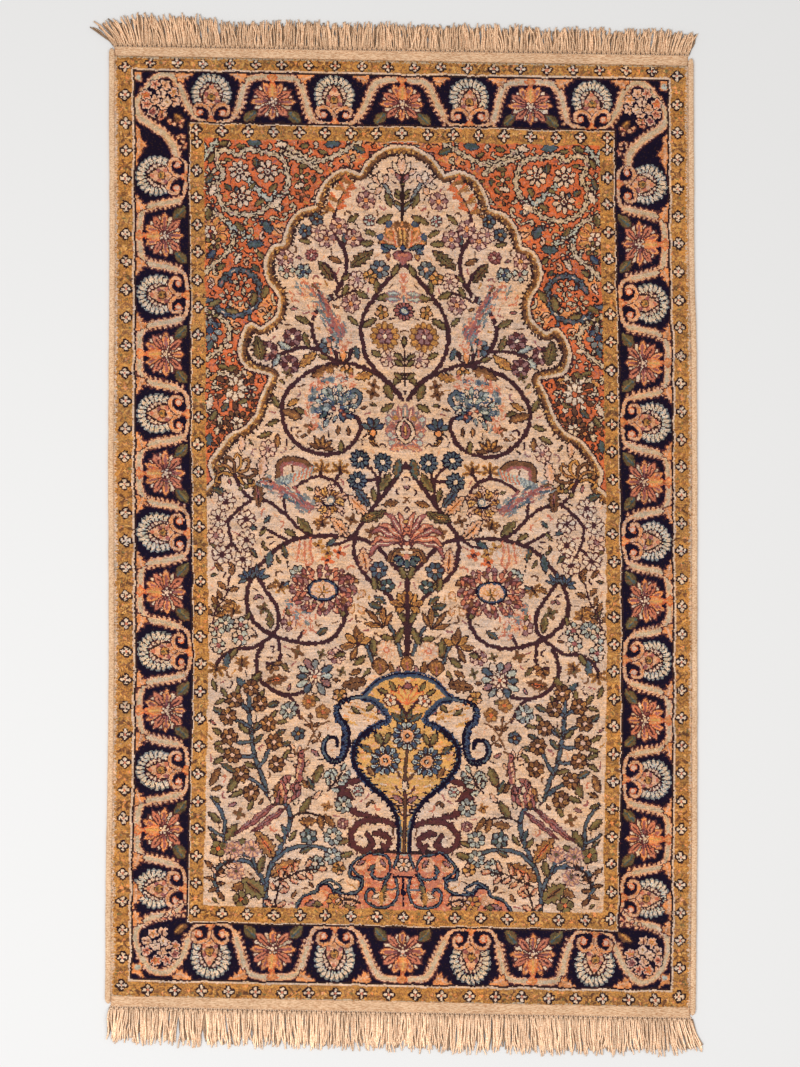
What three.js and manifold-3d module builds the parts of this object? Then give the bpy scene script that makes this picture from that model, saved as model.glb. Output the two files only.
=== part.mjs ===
// A hand-knotted silk prayer rug, lying flat with its niche end towards +Y.
//
// The cloth is woven in one piece: a thin flat-woven foundation that shows as a band across each
// end, and a thicker knotted pile between the bands. Its long edges are overcast with cream yarn,
// and its warps run on past both ends as a knotted fringe. Millimetres, +Z up, floor at z = 0.

import * as THREE from 'three';
import { mergeVertices } from 'three/addons/utils/BufferGeometryUtils.js';
import Module from 'manifold-3d';

const wasm = await Module();
wasm.setup();

// ---- driving dimensions ------------------------------------------------------------------------

const PILE_TOP = 5.0;            // floor to the tips of the pile
const FLATWEAVE_THICKNESS = 2.0; // foundation and end bands
const PILE_SHOULDER = 0.9;       // rounding along the edge of the pile
const PILE_SETBACK = 0.4;        // pile edge behind the edge of the foundation

const SELVEDGE_WIDTH = 7.0;      // overcast cord along each long edge
const SELVEDGE_HEIGHT = 4.4;
const SELVEDGE_ROUNDING = 1.6;
const SELVEDGE_PAST_PILE = 7.0;  // how far the overcasting runs on beside each end band

const SEWING_GAP = 0.3;          // clearance between separate pieces

const FRINGE_THICKNESS = 2.4;
const FRINGE_KNOT_ROW = 3.2;     // the row of knots from which the tassels hang
const TASSEL_COUNT = 118;
const TASSEL_WIDTHS = { knot: 0.78, middle: 0.84, tip: 0.5 }; // as shares of the tassel pitch
const TASSEL_MIDDLE = 0.45;      // where along its length a tassel bends
const TASSEL_BEND = 0.32;        // share of the lean already reached there

// How the two long edges wander: the outer edge of the overcasting at stations along the rug.
const LONG_EDGES = [
  { y: -616, left: -386.0, right: 382.0 },
  { y: -430, left: -385.0, right: 383.5 },
  { y: -330, left: -383.0, right: 384.0 },
  { y: -170, left: -381.0, right: 384.0 },
  { y: 90, left: -382.0, right: 384.0 },
  { y: 240, left: -381.0, right: 383.0 },
  { y: 350, left: -380.0, right: 380.0 },
  { y: 616, left: -381.0, right: 379.0 },
];

// The ends are woven a little out of square: each runs straight from its left to its right corner.
const ENDS = {
  top: { side: 1, weaveLeft: 628.5, weaveRight: 616.5, bandLeft: 12.5, bandRight: 14.0 },
  bottom: { side: -1, weaveLeft: -619.0, weaveRight: -634.5, bandLeft: 14.0, bandRight: 14.0 },
};
const BAND_INSET = 1.5;          // the end bands draw in behind the long edges

// How long the tassels are and how far they lean towards +X, at stations from left (0) to right (1).
const TOP_FRINGE = [
  { at: 0.0, length: 30, lean: -24 },
  { at: 0.02, length: 42, lean: -13 },
  { at: 0.05, length: 46, lean: -6 },
  { at: 0.14, length: 44, lean: -8 },
  { at: 0.2, length: 38, lean: -3 },
  { at: 0.45, length: 39, lean: 1 },
  { at: 0.7, length: 37, lean: -2 },
  { at: 0.94, length: 35, lean: 3 },
  { at: 1.0, length: 29, lean: 13 },
];
const BOTTOM_FRINGE = [
  { at: 0.0, length: 47, lean: -6 },
  { at: 0.04, length: 50, lean: 0 },
  { at: 0.3, length: 51, lean: 2 },
  { at: 0.55, length: 53, lean: -1 },
  { at: 0.8, length: 52, lean: 2 },
  { at: 0.96, length: 50, lean: 6 },
  { at: 1.0, length: 45, lean: 16 },
];

const COLOURS = {
  pile: 0xc9a27c,
  selvedge: 0xe3c3a0,
  fringe: 0xe6c4a0,
};

// ---- the woven outline -------------------------------------------------------------------------

// Straight-line reading of one column of a station table.
function readTable(table, key, at, column) {
  const next = table.findIndex((row) => row[key] >= at);
  if (next === 0) return table[0][column];
  if (next < 0) return table[table.length - 1][column];
  const low = table[next - 1];
  const high = table[next];
  return THREE.MathUtils.mapLinear(at, low[key], high[key], low[column], high[column]);
}

function longEdge(side, y) {
  return readTable(LONG_EDGES, 'y', y, side);
}

// The y of an end's outer edge at the given x; inset moves it back towards the rug's middle.
function endLine(end, x, insetLeft = 0, insetRight = 0) {
  const left = longEdge('left', end.weaveLeft);
  const right = longEdge('right', end.weaveRight);
  const fromY = end.weaveLeft - end.side * insetLeft;
  const toY = end.weaveRight - end.side * insetRight;
  return THREE.MathUtils.mapLinear(x, left, right, fromY, toY);
}

function pileEnd(end, x) {
  return endLine(end, x, end.bandLeft, end.bandRight);
}

// The y values at which a long edge is drawn, from one end's corner to the other's.
function edgeStations(fromY, toY) {
  const between = LONG_EDGES.map((row) => row.y).filter((y) => y > fromY + 1 && y < toY - 1);
  return [fromY, ...between, toY];
}

// A closed outline whose long edges follow the table, set in by `inset`, between two end lines.
function wovenOutline(inset, bottomLine, topLine) {
  const edge = (side, sign) => {
    const probe = longEdge(side, 0) + sign * inset;
    const ys = edgeStations(bottomLine(probe), topLine(probe));
    return ys.map((y) => new THREE.Vector2(longEdge(side, y) + sign * inset, y));
  };
  return [...edge('right', -1), ...edge('left', 1).reverse()];
}

function extrude(outline, depth, base, bevel = null) {
  const geometry = new THREE.ExtrudeGeometry(new THREE.Shape(outline), {
    depth: bevel ? depth - 2 * bevel : depth,
    bevelEnabled: bevel !== null,
    bevelThickness: bevel ?? 0,
    bevelSize: bevel ?? 0,
    bevelOffset: bevel ? -bevel : 0,
    bevelSegments: 2,
    steps: 1,
  });
  geometry.translate(0, 0, base + (bevel ?? 0));
  return geometry;
}

// ---- joining two closed shapes -----------------------------------------------------------------

function toSolid(geometry) {
  const bare = geometry.clone();
  bare.deleteAttribute('normal');
  bare.deleteAttribute('uv');
  const merged = mergeVertices(bare, 1e-4);
  return new wasm.Manifold(new wasm.Mesh({
    numProp: 3,
    vertProperties: new Float32Array(merged.attributes.position.array),
    triVerts: new Uint32Array(merged.index.array),
  }));
}

function toGeometry(solid) {
  const mesh = solid.getMesh();
  const geometry = new THREE.BufferGeometry();
  geometry.setAttribute('position', new THREE.BufferAttribute(mesh.vertProperties, 3));
  geometry.setIndex(new THREE.BufferAttribute(mesh.triVerts, 1));
  geometry.computeVertexNormals();
  return geometry;
}

// ---- the pieces --------------------------------------------------------------------------------

// Foundation and end bands as one thin sheet, with the thicker pile standing on it.
function rugBody() {
  const inset = SELVEDGE_WIDTH + SEWING_GAP;
  const sheetOutline = wovenOutline(
    inset,
    (x) => endLine(ENDS.bottom, x),
    (x) => endLine(ENDS.top, x),
  );
  const pileOutline = wovenOutline(
    inset + PILE_SETBACK,
    (x) => pileEnd(ENDS.bottom, x),
    (x) => pileEnd(ENDS.top, x),
  );
  const sunk = FLATWEAVE_THICKNESS - PILE_SHOULDER - PILE_SETBACK;
  const sheet = toSolid(extrude(sheetOutline, FLATWEAVE_THICKNESS, 0));
  const pile = toSolid(extrude(pileOutline, PILE_TOP - sunk, sunk, PILE_SHOULDER));
  return toGeometry(sheet.add(pile));
}

// The overcast cord along one long edge, past the pile's corners and stopping beside the bands.
function selvedge(side, sign) {
  const run = (end, x) => pileEnd(end, x) + end.side * SELVEDGE_PAST_PILE;
  const x = longEdge(side, 0);
  const ys = edgeStations(run(ENDS.bottom, x), run(ENDS.top, x));
  const strip = (inset) => ys.map((y) => new THREE.Vector2(longEdge(side, y) + sign * inset, y));
  const outer = strip(0);
  const inner = strip(SELVEDGE_WIDTH).reverse();
  return extrude([...outer, ...inner], SELVEDGE_HEIGHT, 0, SELVEDGE_ROUNDING);
}

// The unevenness of hand-cut tassels: a small repeatable wobble for tassel number i.
function wobble(i, size, phase) {
  return size * (0.6 * Math.sin(2.4 * i + phase) + 0.4 * Math.sin(5.3 * i + 2 * phase));
}

// One comb: a knot row against the end band, and a tooth for each tassel.
function fringe(end, table, phase) {
  const inset = SELVEDGE_WIDTH - BAND_INSET;
  const leftX = longEdge('left', end.weaveLeft) + inset;
  const rightX = longEdge('right', end.weaveRight) - inset;
  const pitch = (rightX - leftX) / TASSEL_COUNT;
  const away = (x, distance) => new THREE.Vector2(x, endLine(end, x) + end.side * distance);

  const outline = [away(leftX, SEWING_GAP), away(rightX, SEWING_GAP)];
  for (let i = TASSEL_COUNT - 1; i >= 0; i -= 1) {
    const at = (i + 0.5) / TASSEL_COUNT;
    const root = leftX + at * (rightX - leftX);
    const length = readTable(table, 'at', at, 'length') + wobble(i, 2.2, phase);
    const lean = readTable(table, 'at', at, 'lean') + wobble(i, 0.5, phase + 1);
    const half = (place) => 0.5 * pitch * TASSEL_WIDTHS[place];
    const knot = FRINGE_KNOT_ROW;
    const middleX = root + TASSEL_BEND * lean;
    const tipX = root + lean;
    outline.push(
      away(root + half('knot'), knot),
      away(middleX + half('middle'), knot + TASSEL_MIDDLE * (length - knot)),
      away(tipX + half('tip'), length),
      away(tipX - half('tip'), length),
      away(middleX - half('middle'), knot + TASSEL_MIDDLE * (length - knot)),
      away(root - half('knot'), knot),
    );
  }
  return extrude(outline, FRINGE_THICKNESS, 0);
}

// ---- assembly ----------------------------------------------------------------------------------

function piece(name, geometry, colour, roughness) {
  const material = new THREE.MeshStandardMaterial({ color: colour, roughness, metalness: 0 });
  const mesh = new THREE.Mesh(geometry, material);
  mesh.name = name;
  return mesh;
}

const rug = new THREE.Group();
rug.add(
  piece('rug_body', rugBody(), COLOURS.pile, 0.6),
  piece('selvedge_left', selvedge('left', 1), COLOURS.selvedge, 0.75),
  piece('selvedge_right', selvedge('right', -1), COLOURS.selvedge, 0.75),
  piece('fringe_top', fringe(ENDS.top, TOP_FRINGE, 0.4), COLOURS.fringe, 0.8),
  piece('fringe_bottom', fringe(ENDS.bottom, BOTTOM_FRINGE, 1.9), COLOURS.fringe, 0.8),
);

// The origin is on the floor, at the middle of the rug with its fringes.
const middle = new THREE.Box3().setFromObject(rug, true).getCenter(new THREE.Vector3());
rug.position.set(-middle.x, -middle.y, 0);

const group = new THREE.Group();
group.add(rug);

export default group;
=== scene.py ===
# A hand-knotted Kashmir silk prayer rug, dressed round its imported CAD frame.
#
# The design is drawn first, as a weaver's chart with one cell for each knot. Then the pile, the
# flat-woven foundation, the overcast edges and the knotted fringes are made as meshes that follow
# the outline of the CAD solids. Metres, +Z up, the niche towards +Y.

import math

import bpy
import numpy as np
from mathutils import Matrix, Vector


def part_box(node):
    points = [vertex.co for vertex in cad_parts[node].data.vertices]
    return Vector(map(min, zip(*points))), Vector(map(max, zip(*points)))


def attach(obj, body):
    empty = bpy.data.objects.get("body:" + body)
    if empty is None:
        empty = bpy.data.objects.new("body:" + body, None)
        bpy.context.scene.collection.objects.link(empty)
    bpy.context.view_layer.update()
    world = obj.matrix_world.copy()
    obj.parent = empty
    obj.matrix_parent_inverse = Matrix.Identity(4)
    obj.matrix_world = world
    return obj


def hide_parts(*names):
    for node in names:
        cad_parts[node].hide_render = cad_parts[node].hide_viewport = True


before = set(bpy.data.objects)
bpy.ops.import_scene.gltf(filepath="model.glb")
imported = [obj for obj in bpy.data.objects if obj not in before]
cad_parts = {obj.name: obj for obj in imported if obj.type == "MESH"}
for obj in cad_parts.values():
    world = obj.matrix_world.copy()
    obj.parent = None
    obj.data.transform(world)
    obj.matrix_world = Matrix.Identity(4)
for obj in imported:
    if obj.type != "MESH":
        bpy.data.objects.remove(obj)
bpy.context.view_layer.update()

MM = 0.001


# ---- the yarns ---------------------------------------------------------------------------------

YARNS = {  # dyed silk, as sRGB
    "ink": (46, 26, 26),
    "navy": (16, 4, 28),
    "maroon": (84, 42, 42),
    "plum": (64, 34, 38),
    "brown": (92, 58, 42),
    "bronze": (118, 76, 48),
    "ochre": (144, 94, 58),
    "gold": (186, 128, 66),
    "amber": (210, 154, 86),
    "orange": (216, 134, 78),
    "rust": (200, 98, 54),
    "salmon": (192, 112, 84),
    "rose": (152, 84, 76),
    "mauve": (142, 100, 96),
    "peach": (208, 150, 110),
    "blush": (214, 168, 142),
    "petal": (212, 176, 148),
    "cream": (214, 175, 145),
    "ivory": (217, 186, 157),
    "ice": (176, 172, 156),
    "vine": (194, 166, 134),
    "haze": (122, 120, 116),
    "steel": (82, 88, 98),
    "blue": (54, 64, 88),
    "teal": (72, 82, 76),
    "olive": (94, 78, 50),
    "moss": (122, 102, 62),
}
YARN = {name: number for number, name in enumerate(YARNS)}

# ---- the chart: the right half of the rug, one cell per knot -----------------------------------
# The left half mirrors it. Points are complex numbers in squares of the weaver's pattern: x from
# the centre line outwards, y from the first row up. A square holds FINE knots each way.

HALF = 206       # squares from the centre line to the side
ROWS = 672       # squares from the bottom to the top
FINE = 1.5
EDGE = 0.8       # width of a motif's outline

chart = np.full((int(ROWS * FINE), int(HALF * FINE)), YARN["cream"], np.uint8)
CELLS = np.add.outer(1j * (np.arange(chart.shape[0]) + 0.5), np.arange(chart.shape[1]) + 0.5) / FINE


def turn(degrees):
    """The direction at an angle from +x."""
    return np.exp(1j * np.radians(degrees))


def at(place, facing):
    """A motif's own frame: it is drawn facing +x, then turned to `facing` and set at `place`."""
    return lambda points: place + facing * np.asarray(points, complex)


def knots(low, high, most):
    """The knots between two places along one side of the pattern."""
    first = int(np.clip(low, 0, most) * FINE)
    return slice(first, max(int(np.ceil(np.clip(high, 0, most) * FINE)), first))


def window(points, margin):
    """The part of the chart round some points."""
    return (knots(points.imag.min() - margin, points.imag.max() + margin, ROWS),
            knots(points.real.min() - margin, points.real.max() + margin, HALF))


def line(points, width, yarn):
    """Knot a line along a row of points, of one width or of a width for each point."""
    points = np.asarray(points, complex)
    widths = np.broadcast_to(width, points.shape)
    for start, end, wide in zip(points[:-1], points[1:], widths):
        near = window(np.array([start, end]), wide)
        cells = CELLS[near] - start
        step = end - start
        along = np.clip((cells * np.conj(step)).real / max(abs(step) ** 2, 1e-9), 0, 1)
        chart[near][abs(cells - along * step) <= wide / 2] = YARN[yarn]


def inside_of(points):
    """The window round a closed outline, and which of its knots lie inside."""
    points = np.asarray(points, complex)
    near = window(points, 1)
    cells = CELLS[near]
    inside = np.zeros(cells.shape, bool)
    for start, end in zip(points, np.roll(points, -1)):
        rise = end.imag - start.imag
        if rise == 0:
            continue
        crossing = (start.imag > cells.imag) != (end.imag > cells.imag)
        at_x = start.real + (cells.imag - start.imag) * (end.real - start.real) / rise
        inside ^= crossing & (cells.real < at_x)
    return near, inside


def fill(points, yarn):
    """Knot the inside of a closed outline."""
    near, inside = inside_of(points)
    chart[near][inside] = YARN[yarn]


def shape(points, yarn, edge, width=EDGE):
    """A closed outline filled with one yarn, and edged with another."""
    fill(points, yarn)
    if edge:
        line(np.append(points, points[0]), width, edge)


def outlined(points, width, yarn, edge, rim):
    """A line with an edge of another yarn; `rim` is its width with the edge."""
    line(points, rim, edge)
    line(points, width, yarn)


def spline(points, closed=False, steps=6):
    """A smooth curve through the points."""
    points = np.asarray(points, complex)
    if closed:
        chain = np.concatenate([points[-1:], points, points[:2]])
    else:
        chain = np.concatenate([[2 * points[0] - points[1]], points, [2 * points[-1] - points[-2]]])
    part = np.arange(steps) / steps
    curve = []
    for a, b, c, d in zip(chain, chain[1:], chain[2:], chain[3:]):
        bend = (2 * a - 5 * b + 4 * c - d) * part ** 2 + (3 * b - a - 3 * c + d) * part ** 3
        curve.append(b + 0.5 * ((c - a) * part + bend))
    if not closed:
        curve.append(points[-1:])
    return np.concatenate(curve)


def blade(length, width, fullness=1.0, steps=9):
    """A leaf or petal from 0 to `length`; `fullness` over 1 carries its widest part outwards."""
    along = np.linspace(0, 1, steps)
    half = 0.5 * width * np.sin(np.pi * along ** fullness) ** 0.8
    return np.concatenate([along * length + 1j * half, (along * length - 1j * half)[-2:0:-1]])


def ring(centre, radius, steps=12):
    """Points round a circle."""
    return centre + radius * turn(np.arange(steps) * 360 / steps)


def oval(wide, tall, steps):
    """A ring of half width `wide` and half height `tall` about 0."""
    round_it = turn(np.arange(steps) * 360 / steps)
    return wide * round_it.real + 1j * tall * round_it.imag


def dot(centre, radius, yarn, edge=None, width=1.0):
    """A round spot, edged if an edge is given."""
    shape(ring(centre, radius), yarn, edge, width)


def petals(place, count, cut, yarns, edge, phase=0, rim=EDGE):
    """Separate petals all round a place, their yarns in turn.

    `cut` gives where a petal starts, its length (or one for each), its width and its fullness.
    """
    start, lengths, width, fullness = cut
    for number, length in enumerate(np.broadcast_to(lengths, count)):
        put = at(place, turn(phase + number * 360 / count))
        shape(put(start + blade(length, width, fullness)), yarns[number % len(yarns)], edge, rim)


def scallop(radius, lobes, depth, phase=0.0, steps=6):
    """A round outline with lobes."""
    angle = np.arange(0, 360, 360 / (lobes * steps))
    swell = abs(np.cos(np.radians(lobes * (angle - phase) / 2)))
    return radius * (1 - depth + depth * swell) * turn(angle)


def stations(points, pitch):
    """Places every `pitch` squares along a line, each with the way the line runs there."""
    points = np.asarray(points, complex)
    run = np.concatenate([[0], np.cumsum(abs(np.diff(points)))])
    marks = np.arange(pitch / 2, run[-1], pitch)
    places = np.interp(marks, run, points.real) + 1j * np.interp(marks, run, points.imag)
    ways = np.diff(points)[np.clip(np.searchsorted(run, marks) - 1, 0, len(points) - 2)]
    return zip(places, ways / np.maximum(abs(ways), 1e-9))


# ---- borders -----------------------------------------------------------------------------------

# Where each stripe begins, in squares in from the edge: guard, line, main border, line, guard, field.
SIDE = (0, 13, 14, 53, 54, 64)
TOP = (0, 9, 10, 47, 48, 58)
BOTTOM = (0, 11, 12, 54, 55, 66)
STRIPES = ("gold", "petal", "navy", "petal", "gold")
BORDER = 2       # the main border's place among the stripes
MAIN = 38.0      # depth of the main border that its motifs are drawn for
NARROW = 0.88    # how much flatter the crosses are in the narrow top guard


def cross(place, flat):
    """The guard stripes' small flower: four white petals about a salmon heart, thickly outlined."""
    for reach, radius, yarn in ((2.3, 2.45, "ink"), (2.4, 1.15, "ivory"), (1.2, 0.9, "ivory")):
        for way in (1, 1j, -1, -1j):
            spot = reach * way
            dot(place + spot.real + 1j * flat * spot.imag, radius * flat, yarn)
    for way in (1+1j, 1-1j, -1+1j, -1-1j):
        line(place + way * np.array([1.1, 1.9]) * flat, 1.1, "ink")
    dot(place, 1.0, "salmon")


def mottle(place, rng):
    """A soft figure between two crosses: strokes like a bow or an arch, darker than the gold."""
    yarn = rng.choice(["ochre", "ochre", "bronze", "ochre"])
    tilt = turn(rng.uniform(-12, 12))
    arch = rng.random() < 0.4
    for side in (-1, 1):
        for rise in (-1, 1):
            start = place + (0.9 * side + 0.6j * rise) * tilt
            wide, tall = rng.uniform(2.2, 3.6), rng.uniform(1.8, 3.0)
            end = start + (wide * side + 1j * tall * (-1 if arch else rise)) * tilt
            line([start, end], 1.5, yarn)
    dot(place + rng.uniform(-1, 1), rng.uniform(0.8, 1.6), rng.choice(["amber", "ochre", "orange", "gold"]))
    for _ in range(5):
        spot = place + rng.uniform(-4.4, 4.4) + 1j * rng.uniform(-4.4, 4.4)
        end = spot + turn(rng.uniform(0, 360))
        line([spot, end], 1.2, rng.choice(["amber", "moss", "amber", "ochre", "orange"]))


def guard(side, bottom, top, uprights, acrosses):
    """Crosses, with a mottled figure between each two, along one guard stripe.

    Those up the side stand at the heights `uprights`, those along both ends at `acrosses`.
    """
    rng = np.random.default_rng(int(side))
    half = 0.5 * (acrosses[1] - acrosses[0])
    level = [x + 1j * y for x in acrosses[:-1] for y in (bottom, top)]
    upright = [side + 1j * y for y in uprights]
    for place in [spot + half for spot in level] + [spot + half * 1j for spot in upright[:-1]]:
        mottle(place, rng)
    for place in level + upright:
        cross(place, NARROW if place.imag > ROWS - TOP[1] else 1.0)


# Places in the three runs of the main border: `along` the run, and `depth` in from its outer line.

def on_bottom(along, depth):
    """A place in the bottom run, whose depth is stretched to its own width."""
    start, end = BOTTOM[BORDER:BORDER + 2]
    return along + 1j * (start + depth * (end - start) / MAIN)


def on_top(along, depth):
    """A place in the top run, stretched in the same way."""
    start, end = TOP[BORDER:BORDER + 2]
    return along + 1j * (ROWS - start - depth * (end - start) / MAIN)


def on_side(along, depth):
    """A place in the side run."""
    return HALF - SIDE[BORDER] - depth + 1j * along


# ---- the main border's motifs ------------------------------------------------------------------
# Each is drawn in (along, depth): along the border from its middle, and in from the outer edge.

def shell(put):
    """A round flower of pale petals on a leafy heart, held by two curls that hook out of the vine."""
    middle = 15.8j
    fill(put(ring(middle, 14.4, 20)), "navy")
    for angle in np.linspace(-136, 136, 18):
        way = -1j * turn(angle)
        shape(put(middle + way * (7.0 + blade(8.2, 4.6, 1.7))), "haze", "navy", 0.7)
        fill(put(middle + way * (7.2 + blade(6.4, 3.2, 1.6))), "ivory")
        line(put(middle + way * turn(9) * np.array([9.0, 13.5])), 0.8, "blue")
        line(put(middle + way * np.array([8.0, 11.0])), 0.9, "ice")
    shape(put(ring(middle + 1j, 7.9)), "haze", "navy", 1.0)
    for angle in np.arange(-144, 145, 24):
        way = -1j * turn(angle)
        shape(put(middle + 1j + way * (4.4 + blade(4.2, 3.0, 1.5))), "petal", "maroon", 0.7)
    heart = [-9j, 3.4-3.6j, 6.2+1.2j, 6.4+5.6j, 3.4+9.4j]
    heart = np.array(heart + [11j] + [-np.conj(spot) for spot in heart[:0:-1]])
    shape(put(middle + 1j + heart), "peach", "ink", 1.1)
    for spot, yarn in ((-4.8j, "salmon"), (3.4+0.4j, "rose"), (-3.4+0.4j, "salmon"),
                       (4.2+5.6j, "salmon"), (-4.2+5.6j, "rose"), (8.2j, "orange")):
        dot(put(middle + 1j + spot), 1.6, yarn)
    shape(put(ring(middle + 3.4j, 3.1, 8)), "gold", "maroon", 0.8)
    dot(put(middle + 2.6j), 1.3, "olive")
    dot(put(middle + 5.6j), 0.9, "ink")
    for side in (-1, 1):
        fill(put(ring(side * 7 + 29.6j, 6.0)), "navy")
    line(put(np.array([37j, 26j])), 2.4, "peach")
    for side in (-1, 1):
        hook = spline([34j, side * 1.4 + 28.6j, side * 4.6 + 25.4j, side * 8.8 + 24.6j, side * 12 + 27j,
                       side * 11.8 + 30.6j, side * 9.2 + 32j], steps=5)
        outlined(put(hook), 2.3, "peach", "maroon", 3.6)
        line(put(hook[5:18]), 1.0, "orange")
        shape(put(ring(side * 8.2 + 30.4j, 2.2, 8)), "blush", "rust", 0.8)
    shape(put(np.array([-3.4+37j, 40.2j, 3.4+37j, 32.6j])), "orange", "rust", 0.7)


def lotus(put):
    """A wide feathery flower on a stalk: pale petals behind pointed orange and salmon ones."""
    middle = 21.5j
    fill(put(ring(middle - 1j, 6)), "maroon")
    veins = {"vine": 1.0, "rose": 1.8, "maroon": 1.1}
    for angle, length, yarn, vein in (
        (23, 12.0, "petal", "vine"), (70, 14.6, "ivory", "vine"), (106, 14.8, "petal", "vine"),
        (137, 15.0, "ivory", "vine"), (0, 13.6, "orange", "rose"), (46, 15.6, "salmon", "maroon"),
        (90, 16.4, "orange", "rose"), (121, 16.0, "salmon", "maroon"), (154, 15.8, "orange", "rose"),
    ):
        for side in (-1, 1) if angle else (1,):
            way = 1j * turn(side * angle)
            wide = 4.8 if vein == "vine" else 5.4
            shape(put(middle + way * (2 + blade(length - 2, wide, 1.3))), yarn, "maroon", 0.9)
            line(put(middle + way * np.array([4.6, 0.74 * length])), veins[vein], vein)
            if vein != "vine":
                line(put(middle + way * np.array([3, 0.4 * length])), 0.8, "maroon")
    stalk = [4j, -1+7j, -3.6+14j, -3+18j, 21j, 3+18j, 3.6+14j, 1+7j]
    shape(put(np.array(stalk)), "orange", "rust")
    line(put(np.array([8j, 17j])), 1.4, "amber")
    shape(put(np.array([-4+3.4j, -1+6.4j, 9j, 1+6.4j, 4+3.4j, 0.6j])), "orange", "rust")
    for angle in np.arange(0, 360, 72):
        dot(put(middle + 2.5 * turn(angle + 18)), 1.1, "ivory", "maroon", 0.6)
    dot(put(middle), 1.4, "petal")


def thorns(points, side, keep, length, pitch):
    """Small pointed teeth along one side of a vine, leaning forward."""
    for place, way in stations(points, pitch):
        if not keep[np.argmin(abs(points - place))]:
            continue
        root = place + side * 1.6j * way
        tooth = root + way * turn(side * 58) * blade(length, 2.6, 0.75)
        shape(tooth, "peach", "maroon")


# Where the motifs of the main border stand, in squares along each run.
REPEAT = 84.9
SIDE_SHELLS = 77.3 + REPEAT * np.arange(7)
SIDE_LOTUSES = SIDE_SHELLS[:-1] + REPEAT / 2
END_SHELLS = np.array([48.5, 136.5])
END_LOTUSES = np.array([0.0, 92.5])

# The vine about one lotus and one shell: (along, depth into the border) from the motif's middle.
ROUND_LOTUS = [(-20, 9), (-14, 4.6), (-5, 3.6), (5, 3.6), (14, 4.6), (20, 9)]
ROUND_SHELL = [(-17, 32), (-8, 36.6), (8, 36.6), (17, 32)]

# The vine round the corners.
BOTTOM_TURN = [
    150+47j, 153.5+37j, 158.5+27j, 164+20j, 171+17.5j, 179+20.5j, 185+29j,
    189+39j, 188+49j, 182+55.5j, 172+58.5j, 163+60.5j,
]
TOP_TURN = [
    162+600j, 163.5+608j, 170+616j, 179+622.5j, 187.5+629j, 190+637j, 186.5+644.5j,
    181+651j, 176+657j, 168+659.5j, 161+655j, 157+646j, 153+637j,
]


def wave(setting, shells, lotuses):
    """The vine's points along one run, in order."""
    spots = [(place, ROUND_SHELL) for place in shells] + [(place, ROUND_LOTUS) for place in lotuses]
    points = []
    for place, around in sorted(spots, key=lambda spot: spot[0]):
        points += [setting(place + along, depth) for along, depth in around]
    return points


def border_vine():
    """One vine from the middle of the bottom border round to the middle of the top one."""
    bottom = wave(on_bottom, END_SHELLS, END_LOTUSES)[3:-1]
    top = wave(on_top, END_SHELLS, END_LOTUSES)[3:-1][::-1]
    side = wave(on_side, SIDE_SHELLS, SIDE_LOTUSES)[1:-1]
    return spline(bottom + BOTTOM_TURN + side + TOP_TURN + top, steps=5)


def outer_combs(setting, place):
    """Ragged orange half flowers on the rug's edge, either side of a shell."""
    comb = [(12.5, 0.6), (14.2, 3.6), (16, 2.6), (17.2, 6.4), (19.2, 5.0), (20.6, 9.2), (22.6, 7.2),
            (24, 8.8), (25, 4.6), (26.4, 4.2), (26.4, 0.6)]
    for side in (-1, 1):
        shape(np.array([setting(place + side * along, depth) for along, depth in comb]), "orange", "maroon")
        line([setting(place + side * 23.4, 5.0), setting(place + side * 16.5, 2.6)], 1.5, "peach")


def border_leaves(setting, place):
    """Two green leaves at the field side of a lotus."""
    for side in (-1, 1):
        foot = setting(place + side * 11, 28)
        tip = setting(place + side * 20.5, 36.8)
        shape(at(foot, tip - foot)(blade(1, 0.62)), "olive", "ink")
        line([foot + 0.2 * (tip - foot), foot + 0.75 * (tip - foot)], 1.8, "teal")
        line([foot + 0.35 * (tip - foot) + 1j, foot + 0.9 * (tip - foot) + 1j], 1.1, "moss")


def corner_flower(place, facing):
    """A bunch of small ragged flowers between a leaf and a pointed flower, turned into the corner."""
    put = at(place, facing)
    fill(put(ring(0, 12.5)), "navy")
    for number, (angle, reach) in enumerate((
        (-138, 9.5), (138, 9.5), (-100, 10.5), (100, 10.5), (-62, 11), (62, 11), (-26, 11.5), (26, 11.5),
        (-150, 3.5), (150, 3.5), (-45, 4.5), (45, 4.5),
    )):
        yarn = ("salmon", "peach", "rose", "orange", "salmon", "peach", "rust", "salmon")[number % 8]
        if number > 7:
            yarn = "petal" if number % 2 else "peach"
        middle = reach * turn(angle)
        shape(put(middle + scallop(3.9, 5, 0.5, phase=number * 31, steps=4)), "navy", "navy", 1.6)
        shape(put(middle + scallop(3.6, 5, 0.5, phase=number * 31, steps=4)), yarn, "blush", 0.7)
        line(put(middle + turn(angle) * np.array([-1.2, 1.4])), 1.1, "maroon" if number % 3 else "gold")
    shape(at(put(-12), -facing * turn(8))(blade(12, 6, 1.0)), "bronze", "ink")
    line(put(np.array([-14.0, -21.0])), 1.3, "gold")
    tip = at(put(22.5), facing)
    points = spline([-4, 4j, 3+10j, 4+3j, 6.5, 4-3j, 3-10j, -4j], closed=True, steps=3)
    shape(tip(points), "orange", "maroon")
    shape(tip(ring(0, 2.2)), "ice", "peach")


def inner_leaves(places):
    """Small peach leaves between the corner's vine and the inner guard."""
    for number, place in enumerate(places):
        way = turn(75 * number)
        for angle in (0, 95):
            shape(at(place, way * turn(angle))(blade(4.6, 3.2, 1.4)), "peach", "maroon", 0.8)
        line([place, place + 2.5 * way], 0.9, "salmon")


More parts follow.
